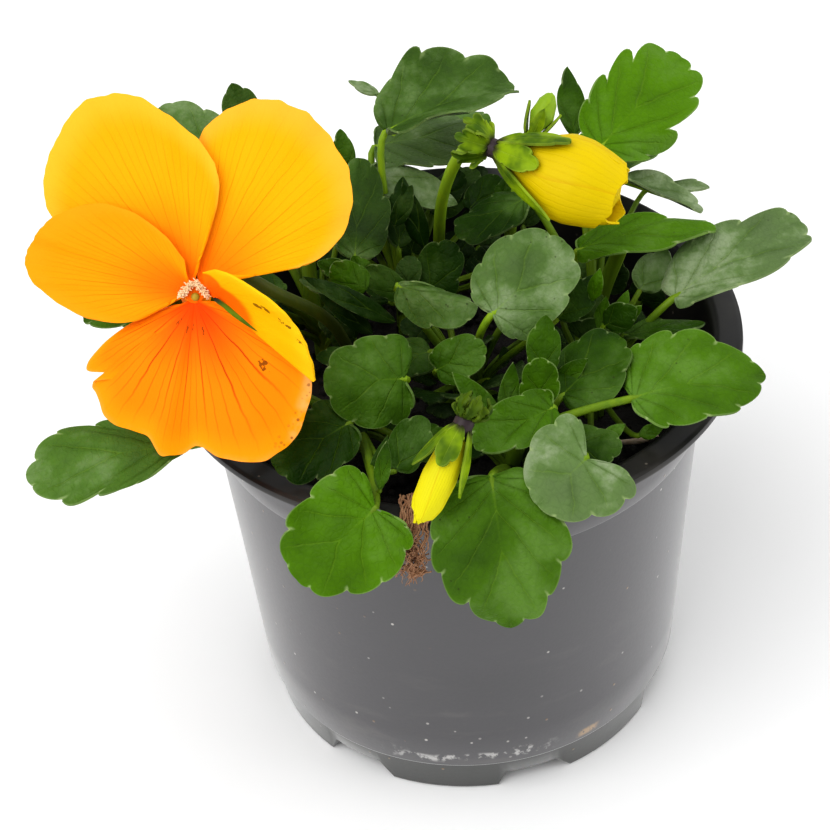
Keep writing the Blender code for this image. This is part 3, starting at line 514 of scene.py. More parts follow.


# Each shoot has its stem's base and knots, then its leaves as (foot, tip, width, face, shape, teeth,
# tone, sheen), some with how they bend, a notch or where the stalk starts; the face is the way that a
# blade looks; the tone is the leaf's own green with painted shade in darker leaves, and the sheen is
# painted reflection

SHOOTS = {
    "left": [
        [(-16, -13), (-18, -17, 68), (-17, -22, 75)],
        ((-39.5, -32.5, 77.5), (-63, -33, 74.5), 13.5, (-0.1, -0.4, 1), PADDLE, 5, 0.62, 0.5,
         {"arch": 1.5, "wave": 0.5}),
        ((-13.4, -46.5, 75.4), (-25, -50, 66.6), 15, (-0.1, -0.76, 0.6), HEART, 5, 0.78, 0,
         {"arch": 1, "wave": 0.5}),
        ((-16.5, -29, 76.5), (-27.5, -33, 72.5), 10, (0, -0.6, 0.8), ROUND, 4, 0.3, 0),
        ((-8.2, -26, 81.6), (-19.5, -27, 82.8), 12.2, VIEWER, HEART, 4, 0.5, 0.12,
         {"cup": 1, "wave": 0.4}),
        ((-10, -39, 76), (-5.5, -33, 80), 6, (0, -0.7, 0.7), BROAD, 2, 0.3, 0),
        ((-12.5, -43, 76), (-11, -41, 83), 2.6, VIEWER, LANCE, 0, 0.5, 0),
        ((-14.5, -13, 76), (-21, -14, 77), 4.5, SKY, OVATE, 2, 0.3, 0),
        ((-9, -28, 72), (-2, -34, 74), 7, SKY, ROUND, 3, 0.35, 0),
        ((-24, -18, 72), (-33, -23, 73), 8, SKY, ROUND, 3, 0.35, 0),
    ],
    "back": [
        [(-7, 16), (-8, 20, 70), (-8, 23, 79)],
        ((-8, 25, 91), (12.2, 33.5, 93), 15.5, (0, 0, 1), BLUNT, 5, 0.42, 0.35,
         {"arch": 0.8, "cup": -2.2, "fold": -2, "wave": 0.3}),
        ((-10, 33, 83), (8.5, 33, 83), 16, (0, -0.1, 1), BROAD, 5, 0.5, 1.1, {"arch": 1}),
        ((-11.5, 25, 83), (2.4, 21, 78.5), 8, SKY, OVATE, 3, 0.5, 1.6, {"arch": 1}),
        ((-7.5, 14, 76), (-6, 22, 84), 5, VIEWER, OVATE, 2, 0.2, 0),
        ((-9, 40, 88.5), (-13.8, 42, 90.2), 2.6, SKY, LANCE, 2, 0.5, 1.3),
        ((3, 39, 77), (4, 57, 73), 13, (0, 0.4, 1), ROUND, 4, 0.5, 0, {"arch": 1.2}),
        ((-2, 25, 75), (6, 33, 77), 8, (0, 0, 1), ROUND, 3, 0.3, 0),
    ],
    "back_right": [
        [(23, 7), (24, 5.5, 70), (27, 4.5, 80)],
        ((25.5, 21.5, 87), (40.6, 37.1, 92.9), 15, (0.2, -0.5, 0.9), BLUNT, 5, 0.9, 0,
         {"arch": 1, "wave": 0.5, "notch": 0.17}),
        ((22, 27, 86), (22, 38.5, 92), 5.5, (0.3, -0.6, 0.8), LANCE, 2, 0.45, 0),
        ((28.9, 20, 82), (40.9, 13.5, 79), 7, (0.1, 0.35, 1), BROAD, 3, 0.4, 1.7, {"cup": -1.6}),
        ((34, 24, 77), (43, 20, 79), 5, (0, 0.2, 1), OVATE, 2, 0.5, 1.9),
        ((13, 17, 81.5), (1.8, 13, 78), 9.5, (0, -0.1, 1), BROAD, 4, 0.25, 0),
        ((20, 1.5, 82), (41, 1.5, 84), 10, (0, 0.1, 1), BROAD, 4, 0.8, 0, {"arch": 1.5}),
        ((25, 31, 76), (37, 46, 74), 13, (0.1, 0.4, 1), ROUND, 4, 0.5, 0, {"arch": 1.2}),
    ],
    "right": [
        [(21, -9), (22, -12, 68), (23, -14, 73)],
        ((24.5, -29, 77.4), (44.5, -24.5, 76), 14, (0, -0.25, 1), EGG, 5, 0.66, 0.05,
         {"arch": 1.2, "wave": 0.5, "lean": 1.4, "start": (9, -33, 74)}),
        ((33.5, -8, 79), (54.4, 3.2, 82.9), 11.8, (0, -0.05, 1), BLUNT, 4, 0.5, 1.5,
         {"arch": 1, "cup": -0.6}),
        ((22.5, -12.5, 78), (27, -14, 82), 5, VIEWER, OVATE, 2, 0.35, 0),
        ((25.5, -11.5, 75), (37.5, -12.5, 77), 7, (0, 0.3, 1), OVATE, 3, 0.3, 0),
        ((29, -3, 77), (33.5, 0, 82), 6, VIEWER, OVATE, 2, 0.5, 0.8),
        ((19.5, -33, 73), (23, -33, 76), 2.4, VIEWER, LANCE, 0, 0.5, 0),
        ((25.5, -30, 71), (29, -30.5, 73), 2.4, VIEWER, LANCE, 0, 0.5, 0),
        ((29, -15, 72), (37, -20, 73), 7, (0, -0.2, 1), ROUND, 3, 0.35, 0),
    ],
    "middle": [
        [(2, -7), (3, -10, 70), (3, -13, 76)],
        ((5.5, -18, 86), (17, -11, 92.5), 13.8, VIEWER, ROUND, 4, 0.5, 0.95, {"cup": 1.2}),
        ((15.5, -12.5, 80), (22, -8, 84), 5.5, VIEWER, OVATE, 2, 0.35, 0),
        ((-7.8, -9, 85.5), (3.5, -14, 84.2), 10, (0, -0.65, 0.76), BROAD, 3, 0.5, 0.6,
         {"fold": 1, "lean": 0.3, "wave": 0.5}),
        ((-4.2, -2, 77), (0.7, 2, 85), 8, VIEWER, BROAD, 3, 0.25, 0),
        ((-3, -20, 78), (4, -20, 82), 6.5, VIEWER, ROUND, 3, 0.45, 0),
        ((-4, -12, 75), (-12, -17, 77), 7.5, SKY, ROUND, 3, 0.3, 0),
        ((8, -6, 75), (14, -1, 77), 7, SKY, ROUND, 3, 0.3, 0),
        ((-7.2, -5.5, 81), (-12.6, -4.5, 86), 4.5, VIEWER, BROAD, 2, 0.3, 0),
    ],
    "front": [
        [(7, -27), (7, -30, 68), (8, -33, 75)],
        ((3, -45.5, 79), (4.5, -54, 58), 20, (0, -0.9, 0.5), EGG, 6, 0.6, 0.1,
         {"arch": 2.2, "wave": 0.5}),
        ((16.2, -43.6, 79.3), (9, -49.3, 76.6), 11.4, VIEWER, LOBED, 4, 0.6, 1.6,
         {"cup": 0.8, "lean": 1.15}),
        ((12.6, -33, 80), (1, -41, 81), 8, VIEWER, ROUND, 4, 0.62, 0, {"cup": -0.8, "lean": 0.8}),
        ((12, -25, 80), (13, -20.5, 87), 5.5, VIEWER, OVATE, 2, 0.5, 0),
        ((14.5, -28, 78), (24, -19.5, 81), 10.5, SKY, ROUND, 4, 0.35, 0),
        ((13.5, -24.5, 77), (18.5, -25, 82), 3.2, VIEWER, LANCE, 0, 0.5, 0),
        ((6, -31.5, 77), (7.5, -29.5, 86), 3.4, VIEWER, LANCE, 0, 0.45, 0),
        ((5, -32.5, 78), (-1.2, -31.5, 86.6), 3.8, VIEWER, LANCE, 0, 0.5, 0),
        ((14, -34, 74), (22, -37, 75), 7, SKY, ROUND, 3, 0.3, 0),
        ((11, -31, 79.5), (11.2, -29, 86), 5.5, VIEWER, ROUND, 3, 0.62, 0, {"cup": -0.4}),
    ],
    "left_back": [
        [(-21, 11), (-22, 12, 68), (-22, 14, 75)],
        ((-14.4, 6.5, 80), (-12.6, 23.5, 87), 10.5, (0.3, -0.7, 0.7), BROAD, 4, 0.4, 0.3),
        ((-15, 23.5, 84), (-15.5, 28, 90), 4, VIEWER, OVATE, 2, 0.45, 0),
        ((-15.5, -2, 79), (-23, 0.5, 81), 3.5, (0, 0, 1), OVATE, 2, 0.5, 0.8),
        ((-15, 2, 80), (-20, 0.5, 84), 3.5, VIEWER, OVATE, 2, 0.6, 0),
        ((-35, 30, 84), (-45, 40, 89), 12, SKY, ROUND, 4, 0.5, 0.7),
        ((-30, 34, 86), (-32.5, 36, 95), 7, VIEWER, OVATE, 3, 0.25, 0),
        ((-38, 3, 77), (-57, 1.5, 75.5), 10, (0, -0.1, 1), BROAD, 4, 0.5, 0, {"arch": 1.5}),
        ((-30, 34, 76), (-38, 52, 73), 14, (-0.2, 0.4, 1), ROUND, 5, 0.5, 0, {"arch": 1.2}),
        ((-27, 7, 73), (-36, 11, 75), 8, (0, -0.2, 1), ROUND, 3, 0.35, 0),
        ((-20, 22, 76), (-27, 33, 78), 9, (0, 0, 1), ROUND, 3, 0.35, 0),
    ],
}


def leaf_upper(look):
    skin = Finish("leaf_upper", {"Specular IOR Level": 0.12})
    place = skin.place()
    t, v = skin.chart()
    tone_and_shade, turns, sheen = skin.marks("marks")
    share = abs(v * 2 - 1)
    wobble = skin.noise(place, 260, 3)
    phase = t * turns * 10 + (wobble - 0.5) * 0.36
    off = abs(phase.fraction() - 0.5)
    lateral = off.fall(0.0, 0.035 + 0.05 * (1 - share)) * share.fall(0.7, 1.0)
    # The valleys along the side veins are tinted deep green: painted shade in the grooves
    valley = off.fall(0.0, 0.3) * share.fall(0.6, 1.0) * share.rise(0.0, 0.2)
    midrib = share.fall(0.0, 0.04) * t.fall(0.45, 0.9)
    net = skin.cells(place, 1000, "DISTANCE_TO_EDGE").fall(0.0, 0.2)
    pebble = skin.noise(place, 700, 3)
    patch = skin.noise(place, 90, 4)
    grain = skin.noise(place, 2400, 2, 0.7)
    # Painted highlight and sheen: grey patches mixed into the green stand in for the lights' reflections,
    # more where a leaf's sheen is high
    painted_highlight = (patch + 0.25 * (pebble - 0.5)).rise(0.46, 0.66) * (0.7 + 0.9 * (grain - 0.5))
    painted_sheen_share = sheen * 0.66 * (0.35 + 0.85 * painted_highlight) + 0.17 * painted_highlight
    edge = share.rise(0.978, 0.996)
    tips = share.rise(0.9, 0.97) * off.rise(0.42, 0.5)
    specks = skin.cells(place, 620).fall(0.06, 0.13) * skin.noise(place, 60, 1).rise(0.5, 0.62)
    green = skin.layered(
        look.leaf_dark,
        # The tone runs from deep to bright green: the leaf's own tone, and painted shade in darker leaves
        ((tone_and_shade + (patch - 0.5) * 1.1).rise(0.0, 1.0), look.leaf_light),
        (valley * 0.16, look.leaf_dark),
        (painted_sheen_share * (1 - 0.3 * valley), look.leaf_painted_sheen),
        (net * 0.06, look.leaf_dark),
        (lateral * 0.12 + midrib * 0.25, look.leaf_vein),
        ((edge * 0.25 + tips * 0.5) * (0.2 + tone_and_shade), look.leaf_edge),
        (specks * 0.6, srgb(40, 40, 14)))
    gloss = 0.34 + 0.2 * patch + 0.16 * grain
    relief = 0.7 * pebble - 0.4 * lateral - 0.2 * valley - 0.15 * net + 0.25 * grain
    return skin.made(green, gloss, relief, 0.3, 0.8)


def leaf_lower(look):
    skin = Finish("leaf_lower")
    place = skin.place()
    t, v = skin.chart()
    turns = skin.marks("marks")[1]
    share = abs(v * 2 - 1)
    off = abs((t * turns * 10).fraction() - 0.5)
    vein = share.fall(0.03, 0.12).most(off.fall(0.03, 0.12) * 0.7)
    patch = skin.noise(place, 150, 3)
    colour = skin.layered(look.leaf_under, (patch, srgb(128, 144, 112)), (vein * 0.4, srgb(136, 156, 90)))
    return skin.made(colour, 0.55 + 0.15 * patch, vein + 0.2 * patch, 0.25, 0.6)


def stalk_finish(name, colour, second):
    skin = Finish(name, {"Specular IOR Level": 0.25})
    place = skin.place()
    streak = skin.noise(skin.stretched(place, 3, 3, 0.6), 300, 3)
    patch = skin.noise(place, 120, 2)
    # Stalks are painted darker below about 71 to 88 mm high: painted shade low in the tuft
    low = skin.parts(place)[2].fall(0.071, 0.088)
    shade = skin.layered(colour, (streak, second), (low * 0.6, toned(second, 0.3)))
    return skin.made(shade, 0.4 + 0.2 * patch, streak, 0.1, 0.4)


def rooted(base, *knots):
    """A stem's knots, from its root in the soil straight up from its base and on through the rest."""
    return [(*base, STEM_ROOT), (*base, STEM_KNEE), *knots]


def planted(name, blades, stalks, finish, resolution=2):
    """Makes one piece of blades, which get their thickness and lower side here, and stalks."""
    foliage = joined("blades", blades)
    thickened(foliage, LEAF_THICKNESS, 1)
    made = joined(name, [foliage, bars("stalks", stalks, finish[2], resolution)])
    settled(made)
    return made


def build_shoot(name, shoot, finish):
    """A stem with its leaves, whose stalks leave it at points spread along its upper two thirds."""
    knots, *leaves = shoot
    stem = smooth_path(rooted(*knots), 4)
    stalks = [(stem, np.linspace(*STEM_RADII, len(stem)))]
    blades = []
    coarse = smooth_path(rooted(*knots), 2)
    low = len(coarse) // 3
    for i, (foot, tip, width, face, shape, teeth, tone_and_shade, sheen, *bends) in enumerate(leaves):
        options = dict(*bends)
        notch = options.pop("notch", NOTCH)
        node = options.pop("start", coarse[low + (i * 5) % (len(coarse) - low)])
        blade = Blade(foot, tip, width, face, **options)
        blades.append(leaf(blade, shape, teeth, len(name) * 100 + i, finish[:2], tone_and_shade, sheen, notch))
        slim = SLIM_SHARE if width < SLIM_LEAF else 1.0
        stalks.append(petiole(blade, node, PETIOLE_CLIMB, PETIOLE_RADIUS * slim))
    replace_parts(planted(f"leaves_{name}", blades, stalks, finish), f"shoot_{name}")


# Small leaves between the shoots, as (foot, tip, width, shape, teeth, tone), the tone partly painted
# shade; they face the viewer
SMALL_LEAVES = [
    ((-8.8, -10, 79.6), (-21.7, -13, 91.5), 3.4, LANCE, 0, 0.2),
    ((-12.4, -9, 77), (-19.7, -12, 87.5), 3.2, LANCE, 0, 0.15),
    ((-13, -6, 83), (-17.4, -7, 89), 4.8, ROUND, 3, 0.7),
    ((-12.5, -4, 83), (-14.5, -4, 88), 4.0, OVATE, 2, 0.65),
    ((-15, -8, 82.4), (-18, -9, 86), 3.4, OVATE, 2, 0.6),
    ((-6.5, -2, 80.3), (-5.8, 0, 84.3), 4.0, BROAD, 2, 0.2),
    ((22.9, -10, 74.2), (28, -12, 80.8), 3.0, OVATE, 2, 0.65),
    ((22, -10, 74.8), (23, -9, 80.8), 2.8, LANCE, 0, 0.6),
    ((24, -8, 73.5), (26.7, -6, 79.4), 2.6, LANCE, 0, 0.6),
    ((20.7, -11, 81.8), (21.9, -11, 87.6), 2.4, LANCE, 0, 0.7),
    ((-3.4, 9, 79), (-6.2, 10, 91), 4.0, LANCE, 0, 0.15),
    ((-7.8, 8, 84.6), (-4.7, 10, 90.4), 3.0, OVATE, 2, 0.2),
    ((-13.7, -36, 71), (-10.9, -34, 78), 2.2, LANCE, 0, 0.25),
    ((4.5, 22, 77), (9.7, 26, 79.8), 4.6, ROUND, 3, 0.25),
    ((-0.2, 26, 76), (3.7, 28, 80), 4.6, ROUND, 3, 0.2),
    ((9, 22, 78), (15, 24, 82), 4.6, OVATE, 2, 0.35),
]


def build_small_leaves(finish, count):
    """The leaflets at the shoots' joints, and the shaded young leaves that fill the pot."""
    rng = np.random.default_rng(FILL_SEED)
    blades, stalks = [], []
    for i, (foot, tip, width, shape, teeth, tone_and_shade) in enumerate(SMALL_LEAVES):
        blade = Blade(foot, tip, width, VIEWER, arch=0.4, fold=0.3)
        blades.append(leaf(blade, shape, teeth, 700 + i, finish[:2], tone_and_shade, 0.0, NOTCH, 0.7))
    starts = [np.array((*stem[0], SOIL_LEVEL)) for stem, *_ in SHOOTS.values()]
    for i in range(count):
        angle = rng.uniform(0, math.tau)
        out = np.array([math.cos(angle), math.sin(angle), 0])
        foot = out * FILL_RADIUS * math.sqrt(rng.uniform(0, 1)) + (0, 0, rng.uniform(*FILL_HEIGHTS))
        tip = foot + out * rng.uniform(2, 6) + (0, 0, rng.uniform(0, 5))
        face = out * rng.uniform(-0.3, 0.5) + (0, -0.4, 1)
        width, arch, cup = rng.uniform(*FILL_WIDTHS), rng.uniform(0, 1), rng.uniform(-0.6, 0.8)
        blade = Blade(foot, tip, width, face, arch, cup)
        shape = (ROUND, BROAD, OVATE)[i % 3]
        # Low tones paint these leaves dark: painted shade in the middle of the pot
        tone_and_shade = rng.uniform(0, 0.3)
        blades.append(leaf(blade, shape, 2 + i % 2, 800 + i, finish[:2], tone_and_shade, 0.0, NOTCH, 0.6))
        near = min(starts, key=lambda start: np.linalg.norm(start - foot))
        stalks.append(petiole(blade, near + rng.uniform(-1.2, 1.2, 3) * (1, 1, 0), 0.5, 0.55))
    planted("leaves_small", blades, stalks, finish, 1)


# Pot and soil


def pot_profile():
    """The pot's section as (radius, height), from its underside up the outside and down the inside."""
    collar = POT_TOP - COLLAR_HEIGHT
    lip = LIP_RADIUS
    inner = lip - LIP_WIDTH
    return [
        (PAD_RADIUS, 0), (PAD_RADIUS + 0.6, FLOOR_UNDER), (30.4, FLOOR_UNDER), (30.5, 0.2), (30.7, 0),
        (33.5, 0), (33.8, 0.3), (34.5, 6.2), (34.65, 6.7), (35.2, 7.1), (BODY_FOOT_RADIUS, 7.5),
        (35.9, 15), (36.6, 26), (37.4, 38), (38.3, 50), (BODY_TOP_RADIUS, collar - 0.1),
        (BODY_TOP_RADIUS + 0.55, collar + 0.15), (BODY_TOP_RADIUS + 0.7, collar + 0.5),
        (39.9, collar + 3), (40.4, POT_TOP - 3), (40.6, POT_TOP - 2.2), (41.1, POT_TOP - 1.8),
        (lip - 0.7, POT_TOP - 1.65), (lip - 0.15, POT_TOP - 1.35), (lip, POT_TOP - 0.9),
        (lip - 0.1, POT_TOP - 0.25), (lip - 0.5, POT_TOP), (lip - 0.9, POT_TOP - 0.02),
        (inner + 0.5, POT_TOP - 0.15), (inner, POT_TOP - 0.25), (inner - 0.6, POT_TOP - 0.7),
        (inner - 1.2, POT_TOP - 2.0), (39.0, POT_TOP - 6), (BODY_TOP_RADIUS - WALL, collar - 1.5),
        (36.2, 38), (35.0, 22), (BODY_FOOT_RADIUS - WALL, FLOOR_TOP + 1.5),
        (BODY_FOOT_RADIUS - WALL - 1.5, FLOOR_TOP),
    ]


def choose(obj, test):
    """Selects the vertices that pass the test on their place, in edit mode."""
    bpy.ops.object.mode_set(mode="EDIT")
    bpy.ops.mesh.select_mode(type="VERT")
    bpy.ops.mesh.select_all(action="DESELECT")
    bpy.ops.object.mode_set(mode="OBJECT")
    for vertex in obj.data.vertices:
        vertex.select = test(vertex.co)
    bpy.ops.object.mode_set(mode="EDIT")


def between_feet(co):
    """0 under a foot and 1 over the notch between two feet."""
    turn = (math.degrees(math.atan2(co.y, co.x)) + 90 - FOOT_TURN) * FEET / 360
    off = abs(turn - round(turn)) * 2
    return min(max((off - FOOT_SHARE) * NOTCH_SLOPE + 0.5, 0.0), 1.0)


def pot_finish(look):
    skin = Finish("pot_wall", {"Specular IOR Level": 0.8, "Coat Weight": 0.5, "Coat Roughness": 0.25,
                               "Sheen Weight": 0.65, "Sheen Roughness": 0.33})
    place = skin.place()
    x, y, z = skin.parts(place)
    cloud = skin.noise(place, 26, 4)
    smear = skin.noise(skin.stretched(place, 1, 1, 3.5), 60, 3)
    fine = skin.noise(place, 1800, 2)
    # A darker patch on the middle of the wall's front, at about 26 mm high
    front_dark_patch = abs(x + 0.001).fall(0.004, 0.017) * abs(z - 0.0265).fall(0.001, 0.007) * y.fall(-0.03, -0.02)
    dust = smear.rise(0.52, 0.8) * z.fall(0.0, 0.045) * look.dust
    scuff_line = abs(z - 0.0095 - (smear - 0.5) * 0.006).fall(0.0004, 0.0018)
    scuff = scuff_line * skin.noise(place, 420, 4, 0.7).rise(0.5, 0.62)
    scuff = scuff * y.fall(-0.034, -0.026) * abs(x + 0.002).fall(0.008, 0.016)
    foot = z.fall(0.0068, 0.0078)
    pick, kind, strength = skin.parts(skin.cells(place, 360, "F1", "Color"))
    speck = skin.cells(place, 360).fall(0.05, 0.12) * pick.rise(0.4, 0.42)
    hue = skin.mix(kind.rise(0.5, 0.55), srgb(200, 195, 190), srgb(130, 100, 64))
    chip = abs(x - 0.0175 - 0.35 * (z - 0.0085)).fall(0.0008, 0.0022) * abs(z - 0.0088).fall(0.0003, 0.0011)
    grey = skin.layered(
        look.pot_colour,
        (cloud, toned(look.pot_colour, 1.22)),
        (front_dark_patch * cloud.rise(0.35, 0.6) * 0.35, toned(look.pot_colour, 0.6)),
        (dust * 0.35, srgb(170, 165, 158)),
        (scuff * 0.75, srgb(205, 203, 200)),
        (foot * (0.7 + 0.3 * smear), srgb(26, 29, 22)),
        (speck * (0.3 + 0.6 * strength), hue),
        (chip * y.fall(-0.03, -0.02) * fine.rise(0.3, 0.5) * 0.8, srgb(176, 140, 92)))
    gloss = look.pot_roughness + 0.12 * cloud + 0.1 * fine + 0.25 * dust
    relief = 0.4 * fine + 0.6 * cloud + 1.5 * speck
    return skin.made(grey, gloss, relief, 0.08, 0.35)


def rim_finish(look):
    skin = Finish("pot_rim", {"Specular IOR Level": 0.3})
    place = skin.place()
    cloud = skin.noise(place, 60, 4)
    crumb = skin.cells(place, 420).fall(0.05, 0.14) * skin.noise(place, 90, 2).rise(0.45, 0.55)
    black = skin.layered(look.rim_colour, (cloud, toned(look.rim_colour, 1.7)),
                         (cloud.rise(0.4, 0.7) * 0.2, srgb(104, 98, 88)),
                         (crumb * 0.6, srgb(150, 140, 128)))
    return skin.made(black, 0.22 + 0.25 * cloud, crumb + 0.3 * cloud, 0.08, 0.3)


def turned_pot():
    """The section drawn out ring by ring from the pad, still in edit mode."""
    profile = pot_profile()
    radius, height = profile[0]
    deselect()
    bpy.ops.mesh.primitive_circle_add(vertices=POT_SEGMENTS, radius=radius * MM, fill_type="NOTHING",
                                      location=(0, 0, 0))
    pot = named("nursery_pot")
    bpy.ops.object.mode_set(mode="EDIT")
    bpy.ops.mesh.edge_face_add()
    bpy.ops.mesh.select_mode(type="EDGE")
    bpy.ops.mesh.select_all(action="SELECT")
    for next_radius, next_height in profile[1:]:
        climb = (0, 0, (next_height - height) * MM)
        bpy.ops.mesh.extrude_edges_move(TRANSFORM_OT_translate={"value": climb})
        grow = next_radius / radius
        bpy.ops.transform.resize(value=(grow, grow, 1), center_override=(0, 0, next_height * MM))
        radius, height = next_radius, next_height
    bpy.ops.mesh.edge_face_add()
    return pot


def lift_notches(pot):
    """Lifts the foot ring's underside between the feet, and half way at the sides of the feet."""
    for level in (0.5, 1.0):
        def in_notch(co, level=level):
            on_ring = co.z < UNDERSIDE * MM and math.hypot(co.x, co.y) > RING_INSIDE * MM
            return on_ring and abs(between_feet(co) - level) < 0.26
        choose(pot, in_notch)
        bpy.ops.transform.translate(value=(0, 0, level * NOTCH_RISE * MM))
    whole(pot, bpy.ops.mesh.normals_make_consistent, inside=False)


def drain_cutter():
    """A ring of rods where the drain holes are."""
    drains = []
    for k in range(FEET):
        angle = math.tau * (k + 0.5) / FEET
        spot = (DRAIN_RING * math.cos(angle) * MM, DRAIN_RING * math.sin(angle) * MM, FLOOR_TOP * MM)
        deselect()
        bpy.ops.mesh.primitive_cylinder_add(vertices=32, radius=DRAIN_RADIUS * MM, depth=DRAIN_DEPTH * MM,
                                            location=spot)
        drains.append(named(f"drain_{k}"))
    return joined("drains", drains)


def build_pot(look):
    """The turned pot with its notches and drain holes; its rim has its own near-black finish, which also
    covers the inside as painted shade.
    """
    pot = turned_pot()
    lift_notches(pot)
    cutter = drain_cutter()
    applied(pot, "BOOLEAN", operation="DIFFERENCE", object=cutter, solver="EXACT")
    bpy.data.objects.remove(cutter, do_unlink=True)
    pot.data.materials.clear()
    pot.data.materials.append(pot_finish(look))
    pot.data.materials.append(rim_finish(look))
    # Faces on the rim take the near-black rim finish; the inside wall takes it too, as painted shade
    for face in pot.data.polygons:
        outward = face.normal.x * face.center.x + face.normal.y * face.center.y
        on_rim = face.center.z > (POT_TOP - RIM_DEPTH) * MM
        within = face.center.z > FLOOR_TOP * MM - 1e-5 and outward <= 1e-6
        face.material_index = int(on_rim or within)
    settled(pot, smooth=35.0)
    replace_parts(pot, "pot")


def ground(x, y):
    """The level of the crumbly soil, as in the solid."""
    phase = swings(SOIL_SEED, (6, 2))
    bumps = sum(np.sin(x * (0.19 + 0.07 * i) + p) * np.cos(y * (0.23 + 0.06 * i) + q)
                for i, (p, q) in enumerate(phase))
    return SOIL_LEVEL + SOIL_BUMPS * bumps


def soil_finish(name, look):
    skin = Finish(name)
    place = skin.place()
    lumps = skin.noise(place, 260, 6, 0.7)
    fibre = skin.noise(skin.stretched(place, 1, 4, 2), 500, 4, 0.6)
    dark = skin.layered(toned(look.soil_colour, 0.4), (lumps, look.soil_colour),
                        (fibre.rise(0.6, 0.75) * 0.5, srgb(70, 52, 38)))
    return skin.made(dark, 0.75 + 0.2 * lumps, lumps + 0.4 * fibre, 1.0, 0.9)


def build_soil(look):
    finish = soil_finish("soil_look", look)
    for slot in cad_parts["soil"].material_slots:
        slot.material = finish
    deselect()
    bpy.ops.mesh.primitive_ico_sphere_add(subdivisions=1, radius=0.5 * MM)
    crumb = named("crumb")
    crumb.data.materials.append(finish)
    rng = np.random.default_rng(CRUMB_SEED)
    crumbs = [crumb]
    stems = [stem[0] for stem, *_ in SHOOTS.values()]
    for i in range(look.crumbs):
        angle = rng.uniform(0, math.tau)
        reach = CRUMB_REACH * math.sqrt(rng.uniform(0, 1))
        x, y = reach * math.cos(angle), reach * math.sin(angle)
        size = rng.uniform(*CRUMB_SIZES)
        if any(math.hypot(x - p, y - q) < CRUMB_CLEARANCE + size / 2 for p, q in stems):
            continue
        copy = crumb.copy()
        copy.data = crumb.data.copy()
        bpy.context.scene.collection.objects.link(copy)
        spread = rng.uniform(0.7, 1.3, 3)
        turn = Matrix.Rotation(rng.uniform(0, math.tau), 4, unit(rng.normal(size=3)))
        scale = Matrix.Diagonal((*(size * spread), 1.0))
        spot = Vector((x, y, float(ground(x, y)) + 0.25 * size)) * MM
        copy.data.transform(Matrix.Translation(spot) @ turn @ scale)
        crumbs.append(copy)
    bpy.data.objects.remove(crumbs.pop(0), do_unlink=True)
    made = joined("soil_crumbs", crumbs)
    settled(made, smooth=60.0)


# Bloom

BLOOM_CENTRE = np.array([-36.5, -22.0, 96.0])
BLOOM_TURN = math.radians(-4.2)
PETALS = {
    # petal: claw, then the outline, as right, up and forward of the throat
    "upper_right": ((0.5, 1.5, -1.5), [
        (-1, 9, -2.6), (-1, 17, -3.4), (1, 24, -4), (6, 27.8, -4.4), (12, 28, -4.2), (17.5, 24.5, -3.6),
        (21.5, 18, -2.8), (21.5, 10.5, -2.0), (17, 5.2, -1.8), (11, 3.8, -1.6), (5, 3.2, -1.4)]),
    "upper_left": ((-0.5, 1.5, -0.6), [
        (-5, 3, -1.0), (-13, 6, -1.8), (-20.5, 11.5, -2.4), (-21.6, 17, -2.2), (-19.6, 23, -2.0),
        (-15, 28, -1.8), (-9, 28.5, -1.6), (-3, 25, -1.4), (2, 20, -1.2), (3.2, 15, -1.0), (1.5, 8, -0.8)]),
    "left": ((-0.5, 0.6, 0.2), [
        (-1.5, 5, 0.9), (-4.5, 8.8, 1.2), (-9, 11.8, 1.0), (-14.5, 13.0, 0.6), (-20.3, 10.8, 0.2),
        (-22.6, 8, 0.2), (-24, 5, 0.2), (-21.8, 1, 0.6), (-16, -2.7, 1.2), (-9.5, -3.8, 1.6),
        (-4, -1.4, 1.0)]),
    "lower": ((0.0, -0.6, 0.2), [
        (-4.4, -1.8, -0.2), (-9, -3.9, -0.4), (-13, -6.9, -0.4), (-15.2, -10.3, 0), (-11.2, -10.8, 0.2),
        (-11.0, -11.5, 0.2), (-14.2, -12.2, 0.2), (-13.6, -14.4, 0.6), (-11.6, -17.8, 1.2),
        (-7, -19.4, 1.0), (-4.8, -22.2, 1.4), (-2.2, -22.2, 0.8), (0.8, -21.2, 0.8), (4.8, -23, 1.6),
        (10.5, -22.8, 1.8), (14.4, -19.6, 1.2), (16.4, -13.5, 0.8), (15, -9.6, 0.4), (9.6, -4.9, 0),
        (3, -0.9, 0)]),
    "right": ((1.6, 0.9, 0.4), [
        (3.9, 1.0, 1.8), (7.5, -2.6, 2.4), (11.5, -6.6, 2.8), (15.4, -10.4, 3.4), (17.0, -11.9, 5.2),
        (16.4, -8.2, 7.6), (14.7, -4.8, 9.0), (12, -1.8, 9.4), (7.3, 1.5, 8.6), (3.6, 3.2, 6.2),
        (1.5, 3.2, 3.0)]),
}
# petal: throat colour, middle, rim, how strong the veins are
PETAL_COLOURS = {
    "upper_right": (srgb(255, 128, 0), srgb(255, 175, 0), srgb(255, 182, 60), 0.4),
    "upper_left": (srgb(255, 122, 0), srgb(255, 170, 0), srgb(255, 188, 52), 0.4),
    "left": (srgb(255, 112, 0), srgb(255, 155, 0), srgb(255, 160, 20), 0.5),
    "lower": (srgb(255, 70, 0), srgb(255, 138, 0), srgb(255, 158, 8), 0.9),
    "right": (srgb(255, 104, 0), srgb(240, 182, 0), srgb(250, 196, 24), 0.1),
}
